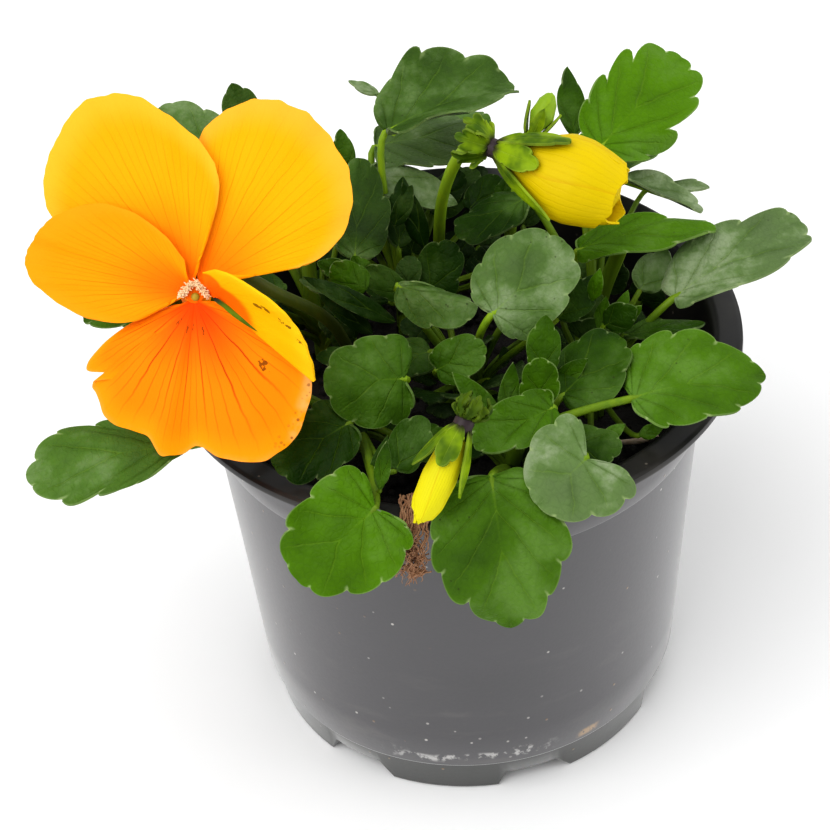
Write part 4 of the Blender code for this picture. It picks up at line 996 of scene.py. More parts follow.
# petal: brown spots as shares of the way round and out, with half their size each way
SPOTS = {
    "lower": [(0.412, 0.19, 0.012, 0.03), (0.518, 0.19, 0.014, 0.04), (0.6, 0.17, 0.012, 0.03),
              (0.7, 0.19, 0.01, 0.03), (0.823, 0.595, 0.006, 0.05), (0.829, 0.62, 0.005, 0.035)],
    "right": [(0.667, 0.68, 0.026, 0.06), (0.65, 0.78, 0.022, 0.04), (0.67, 0.76, 0.012, 0.03),
              (0.592, 0.9, 0.016, 0.05), (0.6, 0.84, 0.01, 0.022), (0.533, 0.95, 0.014, 0.03),
              (0.62, 0.86, 0.01, 0.02)],
}
SEPAL_TURNS = (90, 20, 160, -48, -132)
SEPAL_WIDTH = 3.4
SEPAL_REACH = 8.5
SLIVER = ((2.9, -0.4, 1.9), (9.9, -5.5, 3.7))
HAIR_RADII = (0.13, 0.12, 0.08)
HAIR_LENGTHS = (0.3, 0.7)
HAIR_SEED = 3


def bloom_axes():
    """Right, up and forward of the open flower, which faces the viewer and the sky."""
    forward = unit(VIEWER)
    right, up = np.array([1.0, 0, 0]), np.array([0, forward[2], -forward[1]])
    c, s = math.cos(BLOOM_TURN), math.sin(BLOOM_TURN)
    return np.array([c * right + s * up, c * up - s * right, forward])


BLOOM_AXES = bloom_axes()


def in_bloom(spots):
    """Where spots are that are given as right, up and forward of the throat."""
    return BLOOM_CENTRE + np.asarray(spots, float) @ BLOOM_AXES


def petal_finish(name, throat, middle, rim, veined):
    skin = Finish(f"petal_{name}", {"Specular IOR Level": 0.08})
    place = skin.place()
    s, r = skin.chart()
    drift = skin.noise(skin.joined(s * 3, r * 2), 1.6, 3)
    patch = skin.noise(place, 90, 3)
    ray = (s * 13 + (drift - 0.5) * 0.3).fraction() - 0.5
    line = abs(ray).fall(0.0, 0.03 + 0.025 * veined) * r.fall(0.4, 0.95) * r.rise(0.02, 0.12)
    twig = abs((s * 39 + (drift - 0.5) * 0.9).fraction() - 0.5)
    twig = twig.fall(0.0, 0.09) * r.rise(0.25, 0.5) * r.fall(0.7, 1.0)
    deep = tuple(c * f for c, f in zip(throat, (0.72 - 0.2 * veined, 0.5, 0.6)))
    coats = [(r.rise(0.05, 0.6), middle),
             ((patch - 0.5) * 0.5 + 0.1, tuple(min(1.0, 1.1 * c + 0.01) for c in middle)),
             (r.rise(0.8, 1.0) * 0.8, rim),
             ((line * veined).most(twig * veined * 0.45), deep)]
    grain = skin.noise(skin.joined(s * 60, r * 8), 6, 2)
    if name == "lower":
        side = s.rise(0.76, 0.8) * s.fall(0.86, 0.92)
        hurt = (r + 0.06 * side).rise(0.95, 1.03) * skin.noise(place, 300, 3).rise(0.35, 0.6)
        dots = skin.cells(place, 1300).fall(0.2, 0.4) * s.rise(0.74, 0.78) * s.fall(0.84, 0.88)
        coats += [(hurt * (0.35 + 0.3 * side), srgb(240, 180, 110)),
                  (dots * r.rise(0.9, 0.95) * 0.7, srgb(126, 74, 30))]
    if name == "right":
        crease = r - (s - 0.8).most(0.0) * 2.5
        coats.append((crease.fall(0.4, 0.5) * 0.85, throat))
    stray = skin.noise(place, 1700, 2) - 0.5
    for at, out, wide, tall in SPOTS.get(name, ()):
        spot = abs(s - at + stray * 0.03).fall(0.0, wide) * abs(r - out - stray * 0.1).fall(0.0, tall)
        coats.append(((spot * 2.5).rise(0.3, 1.0) * 0.8, srgb(104, 56, 6)))
    relief = 0.6 * grain - 0.5 * line - 0.25 * twig + 0.4 * patch
    return skin.made(skin.layered(throat, *coats), 0.52 + 0.12 * patch, relief, 0.16, 0.5)


def build_petal(name):
    """A petal as rays from its claw to its edge, with a ruffle that grows toward the edge."""
    claw, knots = PETALS[name]
    claw = np.asarray(claw, float)
    edge = smooth_path(knots, 12)
    swing = swings(len(name), 3)
    far = np.linalg.norm(edge - claw, axis=1).max()

    def place(u, v):
        at = u * (len(edge) - 1)
        turn = math.tau * u
        stop = np.stack([np.interp(at, np.arange(len(edge)), edge[:, k]) for k in range(3)], 1)
        rough = np.sin(11 * turn + swing[0]) * np.sin(4 * turn + swing[1])
        rough = rough + 0.5 * np.sin(23 * turn + swing[2]) * np.sin(7 * turn)
        stop = stop + (stop - claw) * (0.007 * rough)[:, None]
        reach = np.linalg.norm(stop - claw, axis=1) / far
        lift = 0.5 * np.sin(math.pi * v)
        lift = lift + reach * v**3 * (0.35 * np.sin(5 * turn + swing[0]) + 0.15 * np.sin(11 * turn))
        lift = lift + reach * 0.3 * np.sin(2 * turn + swing[1]) * v * v
        spots = claw + (stop - claw) * v[:, None]
        spots[:, 2] += lift
        return in_bloom(spots)

    made = sheet(f"petal_{name}", len(edge) - 1, 26, place, [petal_finish(name, *PETAL_COLOURS[name])])
    closed(made)
    return made


def throat_hairs(count):
    """Two slanting rows of short hairs, left and right over the throat."""
    rng = np.random.default_rng(HAIR_SEED)
    hairs = []
    for side in (-1, 1):
        for i in range(count):
            drop = rng.uniform(0, 1)
            foot = np.array([side * (0.2 + 1.7 * drop), 1.9 - 1.9 * drop, 1.0]) + rng.normal(0, 0.16, 3)
            lean = np.array([side * 0.3, -0.3, 0.8]) + rng.normal(0, 0.5, 3)
            tip = foot + unit(lean) * rng.uniform(*HAIR_LENGTHS)
            hairs.append((in_bloom([foot, (foot + tip) / 2, tip]), HAIR_RADII))
    return hairs


def build_bloom(look):
    bloom = joined("petals", [build_petal(name) for name in PETALS])
    thickened(bloom, PETAL_THICKNESS)
    hub = tapered(in_bloom(((0, 0.4, -3.4), (0, 0.4, -1.5), (0, 0.4, 0.5))), [1.6, 2.3, 1.4])
    spur = tapered(in_bloom(((0, -0.6, -1.5), (0, -2.6, -5), (0, -4.2, -8))), [1.6, 1.4, 0.8])
    heart = bars("heart", [hub, spur], petal_finish("heart", *PETAL_COLOURS["left"]), 4)
    skin = Finish("throat_hair")
    tuft = skin.noise(skin.place(), 800, 2)
    white = skin.mix(tuft, srgb(240, 204, 160), srgb(250, 228, 192))
    brush = bars("brush", throat_hairs(look.throat_hairs), skin.made(white, 0.6 + 0.2 * tuft), 0)
    knob = smooth_path(in_bloom([(0.1, 0.0, -0.4), (0.1, -0.1, 0.5), (0.1, -0.2, 1.0)]), 4)
    pistil = bars("pistil", [(knob, [0.45, 0.5, 0.5, 0.55, 0.6, 0.6, 0.55, 0.45, 0.2])],
                  stalk_finish("pistil", srgb(196, 160, 50), srgb(150, 130, 36)), 4)
    made = joined("bloom", [bloom, heart, brush, pistil])
    settled(made)
    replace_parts(made, "bloom_petals")


def lance(foot, tip, width, face, skins, seed, arch=0.0, tone_and_shade=0.6):
    """A narrow leaf with a plain edge."""
    return leaf(Blade(foot, tip, width, face, arch=arch, fold=0.25), LANCE, 0, seed, skins, tone_and_shade, 0.1)


def sepal_finish(look):
    skin = Finish("sepal", {"Specular IOR Level": 0.15})
    place = skin.place()
    t, v = skin.chart()
    share = abs(v * 2 - 1)
    patch = skin.noise(place, 200, 3)
    reach = t**FAN * (1 - share) + t * share
    colour = skin.layered(
        look.sepal_colour,
        (patch.rise(0.35, 0.65), srgb(66, 96, 4)),
        (share.fall(0.0, 0.12) * 0.35, srgb(150, 176, 50)),
        (share.rise(0.9, 0.99) * 0.3, srgb(160, 180, 70)),
        # A low tone darkens a sepal or lobe: partly its own green, partly painted shade
        (skin.marks("marks")[0].fall(0.1, 0.6) * 0.75, srgb(34, 60, 4)),
        (reach.fall(0.04, 0.24) * 0.9, srgb(40, 30, 36)))
    return skin.made(colour, 0.42 + 0.2 * patch, patch - share.fall(0.02, 0.1), 0.15, 0.5)


def build_bloom_stalk(green, sepal):
    """The bloom's stalk with its seat and sepals, and the sliver of green between two petals."""
    forward = BLOOM_AXES[2]
    sepals = []
    for i, turn in enumerate(SEPAL_TURNS):
        angle = math.radians(turn)
        out = np.array([math.cos(angle), math.sin(angle), 0])
        foot, tip = in_bloom(((0, 1.4, -5.8) + out * 0.8, (0, 1.4, -5.4) + out * SEPAL_REACH))
        sepals.append(lance(foot, tip, SEPAL_WIDTH, forward, [sepal], 900 + i))
    sepals.append(lance(*in_bloom(SLIVER), 0.8, forward, [sepal], 910, tone_and_shade=0.3))
    blades = joined("sepals", sepals)
    thickened(blades, SEPAL_THICKNESS)
    knots = rooted((-15, -3), (-18, -8, 78), (-26, -13, 89), (-33, -14, 95), in_bloom((0.4, 1.6, -6.4)))
    path = smooth_path(knots, 8)
    seat = in_bloom(((0, 1.4, -4.7), (0, 1.4, -5.6), (0, 1.4, -7.0)))
    bar = bars("bar", [(path, [STALK_RADIUS] * len(path)), (seat, [1.9, 1.8, 1.2])], green, 3)
    made = joined("flower_stalk", [bar, blades])
    settled(made)
    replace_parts(made, "bloom_stalk")


# Buds

BROAD_SEPAL = 3.5
BODY_SHARE = 0.93
BODY_SEGMENTS = 72
BODY_RINGS = 36

# A bud's ends are its neck and tip; its girths are (share of the length, half width, half depth); a
# sepal is (turn, length, width, spread, arch); a lobe behind each sepal is (how far it turns aside,
# reach back, spread, width, arch, tone), the tone partly painted shade; a wrap is a rolled petal as
# (turns, (low, high, how far its end curves), lift off the bud)
BIG = {
    "ends": ((9.2, 1.6, 100.6), (24.4, -6.4, 97)),
    "girths": [(0.0, 1.5, 1.4), (0.12, 2.3, 2.1), (0.3, 4.3, 3.4), (0.5, 6.1, 4.4), (0.68, 6.2, 4.6),
               (0.86, 5.4, 3.8), (1.0, 4.5, 2.6)],
    "twist": 1.6,
    "wraps": [((205, -15), (0.02, 1.06, 0.12), 0.25), ((55, -120), (0.05, 1.12, 0.16), 0.0),
              ((-90, -215), (0.05, 1.04, 0.1), 0.1)],
    "sepals": [(-43, 9.5, 4.2, 6.4, 0.7), (8, 6.5, 4.6, 5.0, 0.5), (62, 11, 3.0, 8.2, 0.4),
               (150, 7, 2.9, 6.2, 0.4), (-140, 7, 2.9, 6.2, 0.4)],
    "lobes": [(0.1, 7.2, 3.2, 3.8, 0.9, 0.5)],
    "stalk": [(-1, 17.5), (-1, 16.5, 74), (0, 11.5, 87), (2.8, 6.5, 97.6)],
    "seat": 1.9,
}
FRONT = {
    "ends": ((-1.2, -45, 86.5), (-7.2, -51.5, 77.5)),
    "girths": [(0.0, 1.1, 1.1), (0.2, 1.7, 1.6), (0.5, 2.15, 1.9), (0.8, 1.85, 1.6), (0.95, 1.1, 0.9),
               (1.0, 0.7, 0.6)],
    "twist": 2.2,
    "wraps": [((200, 0), (0.02, 1.0, 0.1), 0.15), ((60, -130), (0.05, 1.05, 0.14), 0.0)],
    "sepals": [(58, 6, 2.2, 4.8, 0.3), (12, 4.6, 3.8, 3.0, 0.5), (-68, 7.6, 2.4, 3.9, 0.3),
               (180, 6, 2.6, 4.2, 0.3)],
    "lobes": [(-0.5, 6.2, 1.4, 1.8, 1.2, 0.15), (0.4, 5.5, 1.0, 1.6, 0.9, 0.25)],
    "stalk": [(1, -18), (0.8, -22, 67), (0.4, -31, 76), (1.2, -38.5, 85.6), (1.2, -41.4, 89.0)],
    "seat": 1.8,
}
YOUNG = {
    "ends": ((15.5, 25, 89), (18.5, 28, 93.5)),
    "girths": [(0.0, 1.0, 1.0), (0.4, 2.0, 1.8), (0.8, 1.5, 1.3), (1.0, 0.7, 0.6)],
    "twist": 1.0,
    "sepals": [(0, 3.6, 2.4, 2.4, 0.2), (100, 4, 2.2, 2.8, 0.2), (-100, 4, 2.2, 2.8, 0.2)],
    "lobes": [(-0.4, 4.6, 1.4, 1.7, 0.5, 0.5), (0.35, 4.2, 1.4, 1.7, 0.5, 0.5)],
    "stalk": [(9, 16), (11, 19, 76)],
    "seat": 1.5,
}


class Bud:
    """A bud's own directions: along it, its side toward the viewer, and the third way round."""

    def __init__(self, spec):
        self.spec = spec
        neck, tip = np.array(spec["ends"], float)
        self.neck = neck
        self.length = np.linalg.norm(tip - neck)
        self.along = unit(tip - neck)
        near = np.asarray(VIEWER, float)
        self.near = unit(near - self.along * (near @ self.along))
        self.third = np.cross(self.along, self.near)

    def girths(self, past, end=0.0, core=1.0):
        """Shares of the length with the half widths and depths there, carried past the tip."""
        table = np.array(self.spec["girths"], float) * (1, core, core)
        last = (table[-1, 0] + past, *(table[-1, 1:] * end))
        return np.array([(-0.03, 0, 0), *table, last]).T

    def round(self, share, angle, wide, deep):
        spots = self.neck + np.outer(share * self.length, self.along)
        return spots + np.outer(np.cos(angle) * wide, self.third) + np.outer(np.sin(angle) * deep, self.near)

    def behind(self, *backs):
        """Points on the bud's line, so far behind the neck."""
        return [self.neck - self.along * back for back in backs]


def bud_finish(name, colour, look):
    skin = Finish(name, {"Specular IOR Level": 0.12})
    place = skin.place()
    u, v = skin.chart()
    patch = skin.noise(place, 160, 3)
    streak = abs((u * 21 + patch * 0.6).fraction() - 0.5).fall(0.03, 0.16)
    fold = (u * 3 + v * look.bud_twist * 0.4).fraction()
    colour = skin.layered(
        colour,
        (patch, toned(colour, 1.15)),
        (v.fall(0.0, 0.34) * 0.6, srgb(150, 166, 20)),
        (streak * 0.1, srgb(190, 156, 0)),
        (fold.rise(0.9, 1.0) * 0.35, srgb(200, 150, 0)))
    return skin.made(colour, 0.42 + 0.15 * patch, 0.5 * patch - 0.4 * streak, 0.12, 0.5)


def soft_steps(at, stops, values):
    """Interpolates with soft turns at the stops, and down to nothing at both ends."""
    fine = np.linspace(stops[0], stops[-1], 400)
    window = np.hanning(25)
    padded = np.pad(np.interp(fine, stops, values), 12, mode="edge")
    soft = np.convolve(padded, window / window.sum(), mode="valid")
    inside = np.clip(np.minimum(fine - stops[0], stops[-1] - fine), 0, None)
    return np.interp(at, fine, soft * np.clip(np.sqrt(inside / 0.05), 0, 1))


def bud_body(name, bud, skin, core=1.0, edges=3):
    """Rolled petals: a ball drawn out along the bud, with overlapping edges that turn with it."""
    stops, widths, depths = bud.girths(0.06, core=core)
    deselect()
    bpy.ops.mesh.primitive_uv_sphere_add(segments=BODY_SEGMENTS, ring_count=BODY_RINGS, radius=1)
    obj = named(name)
    x, y, z = places(obj.data).T
    share = np.interp(z, [-1, 1], stops[[0, -1]])
    angle = np.arctan2(y, x)
    step = (edges * (angle + bud.spec["twist"] * share) / math.tau) % 1
    swell = 1 + 0.12 * (0.5 - step) * np.clip(share * 4, 0, 1)
    swell = swell + 0.02 * np.sin(9 * angle + 5 * share) * share
    wide, deep = (soft_steps(share, stops, values) * swell for values in (widths, depths))
    moved(obj.data, bud.round(share, angle, wide, deep))
    obj.data.materials.append(skin)
    whole(obj, bpy.ops.mesh.normals_make_consistent, inside=False)
    return obj


def wrapped_petal(bud, skin, turns, ends, lift):
    """A petal rolled round the bud, between two turns, from low to high, with a ruffled end."""
    stops, widths, depths = bud.girths(0.25, 0.6)

    def place(u, v):
        angle = np.radians(turns[0] + (turns[1] - turns[0]) * u)
        high = ends[1] - ends[2] * (np.abs(2 * u - 1) ** 3 + 0.35 * np.abs(np.sin(9 * u)) - 0.25)
        share = ends[0] + (high - ends[0]) * v
        wide, deep = (np.interp(share, stops, values) for values in (widths, depths))
        flare = 1 + (lift + 0.25 * v**6 * np.sin(14 * u)) / np.maximum(wide, 1.5)
        return bud.round(share, angle, wide * flare, deep * flare)

    made = sheet("wrap", 40, 30, place, [skin])
    applied(made, "SMOOTH", factor=0.5, iterations=6)
    thickened(made, WRAP_THICKNESS)
    return made


def build_petals(name, node, bud, skin):
    """A bud's yellow part: a body a little within the petals that are rolled round it."""
    made = joined(name, [bud_body(name, bud, skin, BODY_SHARE)]
                  + [wrapped_petal(bud, skin, *wrap) for wrap in bud.spec["wraps"]])
    settled(made)
    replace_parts(made, node)


def build_calyx(name, node, bud, green, sepal, purple, body=()):
    """The green parts of a bud: its stalk, the seat behind the petals, sepals and their lobes."""
    seat = bud.spec["seat"]
    blades = []
    for i, (turn, length, width, spread, rise) in enumerate(bud.spec["sepals"]):
        angle = math.radians(turn)
        out = bud.near * math.cos(angle) + bud.third * math.sin(angle)
        foot = bud.neck - bud.along * 1.5 + out * seat * 0.65
        end = bud.neck + bud.along * length + out * spread
        if width > BROAD_SEPAL:
            broad = Blade(foot, end, width * 0.9, out, arch=rise)
            blades.append(leaf(broad, PADDLE, 2, i, [sepal], 0.54, 0.0, 0.15))
        else:
            blades.append(lance(foot, end, width, out, [sepal], i, rise))
        for turned, reach, aside, wide, arch, tone_and_shade in bud.spec["lobes"]:
            face = out + np.cross(bud.along, out) * turned
            start = bud.neck - bud.along * 2.4 + out * seat * 0.5
            tail = Blade(start, bud.neck - bud.along * reach + face * aside, wide, face, arch, -0.5, wave=0.5)
            blades.append(leaf(tail, PADDLE, 3, 50 + 7 * i + int(reach), [sepal], tone_and_shade, 0.0, 0.36))
    sheets = joined("sepals", blades)
    thickened(sheets, SEPAL_THICKNESS)
    path = smooth_path([*rooted(*bud.spec["stalk"]), *bud.behind(3.6)], 8)
    bar = bars("bar", [(path, [STALK_RADIUS] * len(path)),
                       (bud.behind(4.6, 4.0, 3.2, 2.4), [seat * k for k in (0.45, 0.6, 0.7, 0.7)])], green, 3)
    collar = bars("collar", [(bud.behind(3.0, 2.2, 1.2, 0.2), [seat * k for k in (0.6, 0.8, 0.8, 0.6)])],
                  purple, 3)
    made = joined(name, [bar, collar, sheets, *body])
    settled(made)
    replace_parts(made, node)


def build_buds(look, green, sepal):
    yellow = bud_finish("bud_yellow_look", look.bud_colour, look)
    lemon = bud_finish("front_bud_look", look.front_bud_colour, look)
    purple = stalk_finish("calyx_purple", srgb(34, 24, 30), srgb(78, 66, 68))
    # Darker stalk colours for the front bud: painted shade
    shaded = stalk_finish("front_stalk_look", srgb(84, 110, 16), srgb(52, 80, 12))
    big, front, young = Bud(BIG), Bud(FRONT), Bud(YOUNG)
    build_petals("big_bud", "big_bud_petals", big, yellow)
    build_petals("front_bud", "front_bud_petals", front, lemon)
    build_calyx("big_bud_stalk", "big_bud_calyx", big, green, sepal, purple)
    build_calyx("front_bud_stalk", "front_bud_calyx", front, shaded, sepal, purple)
    build_calyx("young_bud", "small_bud", young, green, sepal, green, [bud_body("young_body", young, green)])


# Litter

ROOT_SEED = 11
ROOT_RADII = (0.15, 0.05)
CLUMPS = ((-8.6, 66.2), (-7.6, 64.9), (-9.2, 63.4), (-8.0, 62.2))
CLUMP_THREADS = 9
CLUMP_RADIUS = 0.11
STRAW_PLACES = ((23.6, -18), (27, -17.4), (30.2, -16.4))
STRAW_RADII = (0.35, 0.5, 0.4)
STRAW_LIFT = 1.2


def dry_finish(name, colour, second):
    skin = Finish(name)
    place = skin.place()
    streak = skin.noise(skin.stretched(place, 1, 1, 0.25), 900, 4, 0.6)
    return skin.made(skin.mix(streak, colour, second), 0.7 + 0.2 * streak, streak, 0.1, 0.6)


def build_litter(look):
    """Root threads that lie over the lip, clumps of them below it, and the straw on the soil."""
    brown = dry_finish("root_look", look.root_colour, srgb(204, 160, 124))
    rng = np.random.default_rng(ROOT_SEED)
    fibres = []
    for i in range(look.roots):
        spread = rng.normal(0, 0.8)
        low = rng.uniform(0, 1) ** 1.5
        knots = np.array([
            (-7.6 + spread * 0.8, -38.8, 70.8), (-7.8 + spread * 0.7, -43.0, 71.0),
            (-8.2 + spread * 0.8, -45.7, 69.2), (-8.4 + spread * 0.6, -46.0, 66.5),
            (-8.6 + spread * 0.9, -46.0, 64.6 - 1.5 * low), (-8.8 + spread * 1.2, -46.1, 63.2 - 3.6 * low)])
        path = smooth_path(knots, 6)
        count = len(path)
        curl = np.cumsum(rng.normal(0, 0.24, (count, 3)), 0)
        path = path + (curl - np.linspace(0, 1, count)[:, None] * curl[-1] * 0.7) * (1, 0.4, 0.5)
        over_lip = np.hypot(path[:, 0], path[:, 1]) < LIP_RADIUS + 0.3
        path[:, 2] = np.where(over_lip, np.maximum(path[:, 2], POT_TOP + 0.4), path[:, 2])
        fibres.append((path, np.linspace(*ROOT_RADII, count) * rng.uniform(0.6, 1.4)))
    for x, z in CLUMPS:
        for i in range(CLUMP_THREADS):
            steps = np.cumsum(rng.normal(0, 0.42, (9, 3)), 0) * (1, 0.35, 0.8)
            fibres.append((np.array([x, -46.1, z]) + steps - steps.mean(0), [CLUMP_RADIUS] * len(steps)))
    tuft = bars("root_threads", fibres, brown, 1)
    settled(tuft)
    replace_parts(tuft, "root_tuft")
    # Straw colours lighter than the straw's own, to make up for the shade it lies in: painted light
    pale = dry_finish("straw_look", look.straw_painted_lit_colour, srgb(222, 186, 158))
    knots = [(x, y, float(ground(x, y)) + STRAW_LIFT) for x, y in STRAW_PLACES]
    stem = bars("straw_stem", [tapered(knots, STRAW_RADII)], pale, 2)
    settled(stem)
    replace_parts(stem, "straw")


# Stage

# Each light's place and size in metres
LIGHTS = {"key": ((-0.4, -0.35, 0.75), 1.0), "side": ((0.8, -0.05, 0.3), 0.8),
          "back": ((0.3, 0.5, 0.65), 0.8)}


def area_light(name, place, size, energy):
    light = bpy.data.lights.new(name, "AREA")
    light.shape = "SQUARE"
    light.size = size
    light.energy = energy
    obj = bpy.data.objects.new(name, light)
    obj.location = place
    aim = Vector(CAMERA_TARGET * MM) - Vector(place)
    obj.rotation_euler = aim.to_track_quat("-Z", "Y").to_euler()
    bpy.context.scene.collection.objects.link(obj)


def build_stage(look):
    e, r = math.radians(CAMERA_ELEVATION), math.radians(-CAMERA_ROLL)
    back = Vector((0, -math.cos(e), math.sin(e)))
    across, rise = Vector((1, 0, 0)), Vector((0, math.sin(e), math.cos(e)))
    right = math.cos(r) * across + math.sin(r) * rise
    up = -math.sin(r) * across + math.cos(r) * rise
    data = bpy.data.cameras.new("photo_camera")
    data.lens = CAMERA_LENS
    data.sensor_width = CAMERA_SENSOR
    data.clip_start, data.clip_end = 0.01, 20.0
    camera = bpy.data.objects.new("photo_camera", data)
    turned = Matrix((right, up, back)).transposed().to_4x4()
    place = Vector(CAMERA_TARGET * MM) + back * CAMERA_DISTANCE * MM
    camera.matrix_world = Matrix.Translation(place) @ turned
    bpy.context.scene.collection.objects.link(camera)
    bpy.context.scene.camera = camera
    deselect()
    bpy.ops.mesh.primitive_grid_add(x_subdivisions=8, y_subdivisions=8, size=6, location=(0, 0, -0.0001))
    floor = named("floor")
    skin = Finish("floor_paper")
    cloud = skin.noise(skin.place(), 3, 2)
    floor.data.materials.append(skin.made(skin.mix(cloud, look.floor_colour, (1, 1, 1)), 0.8 + 0.1 * cloud))
    world = bpy.data.worlds.new("studio")
    world.use_nodes = True
    background = world.node_tree.nodes["Background"]
    background.inputs["Color"].default_value = (1, 1, 1, 1)
    background.inputs["Strength"].default_value = look.fill
    bpy.context.scene.world = world
    for name, (place, size) in LIGHTS.items():
        area_light(name, place, size, getattr(look, name))
    bpy.context.scene.view_settings.view_transform = "Standard"
    bpy.context.scene.view_settings.look = "Medium High Contrast"


# Settings, operators and panel


def colour(name, description, value):
    return FloatVectorProperty(name=name, description=description, default=value, size=3, min=0, max=1,
                               subtype="COLOR")


def share(name, description, value):
    return FloatProperty(name=name, description=description, default=value, min=0, max=1, subtype="FACTOR")


def count(name, description, value, most):
    return IntProperty(name=name, description=description, default=value, min=1, max=most)


def power(name, description, value):
    return FloatProperty(name=name, description=description, default=value, min=0, unit="POWER")


class PotLook(PropertyGroup):
    """The pot and its soil."""
    pot_colour: colour("Plastic", "Colour of the pot's wall", (0.0275, 0.025, 0.030))
    # The rim colour also covers the pot's inside, where it is painted shade
    rim_colour: colour("Rim", "Colour of the clean rim", (0.010, 0.0098, 0.0105))
    pot_roughness: share("Roughness", "How dull the plastic is", 0.34)
    dust: share("Dust", "How much dust lies on the wall", 0.6)
    soil_colour: colour("Soil", "Colour of the damp soil", (0.012, 0.009, 0.007))
    crumbs: count("Crumbs", "How many crumbs are thrown on the soil", 700, 3000)


class PlantLook(PropertyGroup):
    """The leaves, the bloom and the buds."""
    # Deep green is also painted shade: shaded leaves get a low tone, and the vein grooves a tint of it
    leaf_dark: colour("Deep green", "Leaf colour in old leaves", srgb(18, 44, 0))
    leaf_light: colour("Bright green", "Leaf colour in young leaves", srgb(84, 128, 0))
    # The waxy grey is the colour of the painted sheen, reflection painted into the leaves
    leaf_painted_sheen: colour("Waxy grey", "Colour of the waxy sheen", srgb(136, 152, 116))
    leaf_vein: colour("Vein", "Colour of the veins", srgb(132, 168, 40))
    leaf_edge: colour("Edge", "Colour of the leaf's edge", srgb(170, 188, 130))
    leaf_under: colour("Underside", "Colour of the leaf's underside", srgb(72, 96, 44))
    stalk_colour: colour("Stalk", "Colour of the stalks", srgb(150, 178, 20))
    sepal_colour: colour("Sepal", "Colour of the green leaves round a bud", srgb(136, 164, 8))
    bud_colour: colour("Bud", "Colour of the rolled petals", srgb(206, 180, 0))
    front_bud_colour: colour("Front bud", "Colour of the front bud's rolled petals", srgb(212, 204, 24))
    small_leaves: count("Small leaves", "How many shaded leaves fill the pot", 64, 300)
    throat_hairs: count("Throat hairs", "How many hairs stand on each side of the throat", 170, 400)
    bud_twist: FloatProperty(name="Twist", description="How far the folds on the rolled petals turn",
                             default=1.0, min=0, max=4)


class LitterLook(PropertyGroup):
    """Roots on the rim and straw on the soil."""
    root_colour: colour("Roots", "Colour of the old roots", srgb(118, 72, 44))
    # The straw colour is lighter than the straw's own: painted light
    straw_painted_lit_colour: colour("Straw", "Colour of the straw", srgb(252, 236, 220))
    roots: count("Roots", "How many root threads hang over the rim", 38, 200)


class StageLook(PropertyGroup):
    """Floor and lights."""
    floor_colour: colour("Floor", "Colour of the floor", (0.9, 0.9, 0.9))
    fill: FloatProperty(name="Fill", description="Strength of the light from all round", default=0.42, min=0)
    key: power("Key", "Power of the light from the front left", 7.0)
    side: power("Side", "Power of the light from the right", 3.0)
    back: power("Back", "Power of the light from behind", 1.5)


class VIOLET_OT_pot(Operator):
    """Model the nursery pot"""
    bl_idname = "violet.pot"
    bl_label = "Pot"

    def execute(self, context):
        build_pot(context.scene.violet_pot)
        return {"FINISHED"}


class VIOLET_OT_soil(Operator):
    """Dress the soil and lay crumbs on it"""
    bl_idname = "violet.soil"
    bl_label = "Soil"

    def execute(self, context):
        build_soil(context.scene.violet_pot)
        return {"FINISHED"}


class VIOLET_OT_leaves(Operator):
    """Model the leafy shoots"""
    bl_idname = "violet.leaves"
    bl_label = "Leaves"

    def execute(self, context):
        look = context.scene.violet_plant
        finish = (leaf_upper(look), leaf_lower(look),
                  stalk_finish("leaf_stalk", look.stalk_colour, srgb(96, 136, 30)))
        for name, spec in SHOOTS.items():
            build_shoot(name, spec, finish)
        build_small_leaves(finish, look.small_leaves)
        return {"FINISHED"}


class VIOLET_OT_bloom(Operator):
    """Model the open bloom and its stalk"""
    bl_idname = "violet.bloom"
    bl_label = "Bloom"

    def execute(self, context):
        look = context.scene.violet_plant
        build_bloom(look)
        build_bloom_stalk(stalk_finish("bloom_stalk_look", srgb(92, 104, 24), srgb(60, 76, 20)),
                          sepal_finish(look))
        return {"FINISHED"}


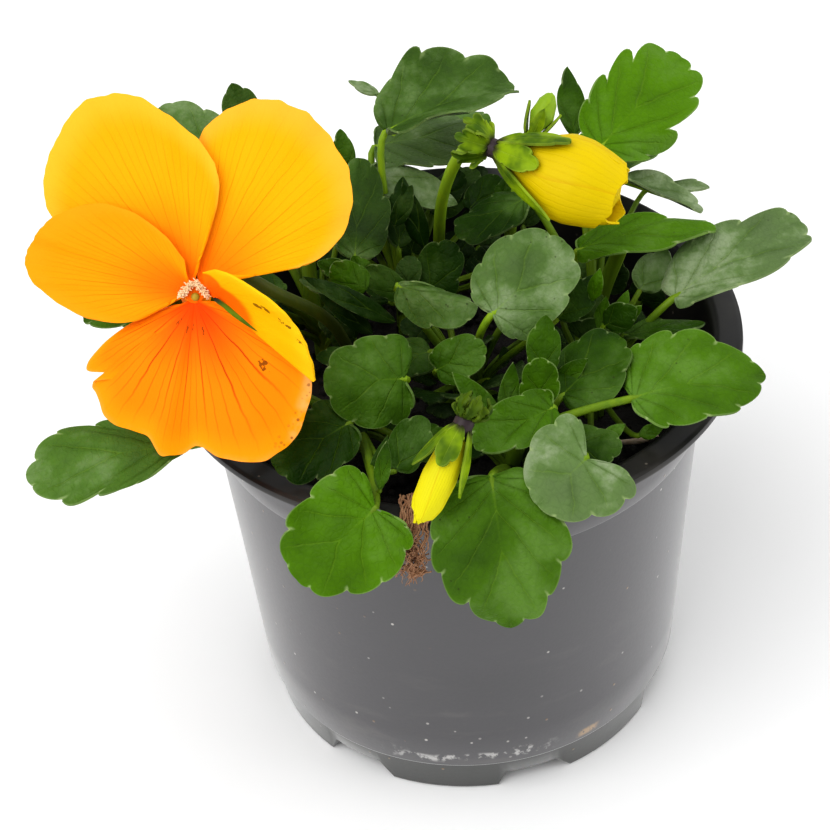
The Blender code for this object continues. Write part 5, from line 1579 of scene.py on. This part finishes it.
class VIOLET_OT_buds(Operator):
    """Model the buds with their stalks"""
    bl_idname = "violet.buds"
    bl_label = "Buds"

    def execute(self, context):
        look = context.scene.violet_plant
        build_buds(look, stalk_finish("bud_stalk_look", look.stalk_colour, srgb(118, 156, 40)),
                   sepal_finish(look))
        return {"FINISHED"}


class VIOLET_OT_litter(Operator):
    """Model the old roots and the straw"""
    bl_idname = "violet.litter"
    bl_label = "Litter"

    def execute(self, context):
        build_litter(context.scene.violet_litter)
        return {"FINISHED"}


class VIOLET_OT_stage(Operator):
    """Set up the camera, the floor and the lights"""
    bl_idname = "violet.stage"
    bl_label = "Stage"

    def execute(self, context):
        build_stage(context.scene.violet_stage)
        return {"FINISHED"}


OPERATORS = (VIOLET_OT_pot, VIOLET_OT_soil, VIOLET_OT_leaves, VIOLET_OT_bloom, VIOLET_OT_buds,
             VIOLET_OT_litter, VIOLET_OT_stage)
LOOKS = {"violet_pot": PotLook, "violet_plant": PlantLook, "violet_litter": LitterLook,
         "violet_stage": StageLook}


class VIOLET_PT_panel(Panel):
    """Lists the pieces and their settings"""
    bl_idname = "VIOLET_PT_panel"
    bl_label = "Horned Violet"
    bl_space_type = "VIEW_3D"
    bl_region_type = "UI"
    bl_category = "Violet"

    def draw(self, context):
        for operator in OPERATORS:
            self.layout.operator(operator.bl_idname)
        for group in LOOKS:
            box = self.layout.box()
            look = getattr(context.scene, group)
            for key in look.__annotations__:
                box.prop(look, key)


def register():
    for group, look in LOOKS.items():
        bpy.utils.register_class(look)
        setattr(bpy.types.Scene, group, PointerProperty(type=look))
    for made in (*OPERATORS, VIOLET_PT_panel):
        bpy.utils.register_class(made)


def unregister():
    for made in (VIOLET_PT_panel, *reversed(OPERATORS)):
        bpy.utils.unregister_class(made)
    for group, look in LOOKS.items():
        delattr(bpy.types.Scene, group)
        bpy.utils.unregister_class(look)


def main():
    register()
    bpy.ops.violet.pot()
    bpy.ops.violet.soil()
    bpy.ops.violet.leaves()
    bpy.ops.violet.bloom()
    bpy.ops.violet.buds()
    bpy.ops.violet.litter()
    bpy.ops.violet.stage()
    bpy.context.view_layer.update()


if __name__ == "__main__":
    main()
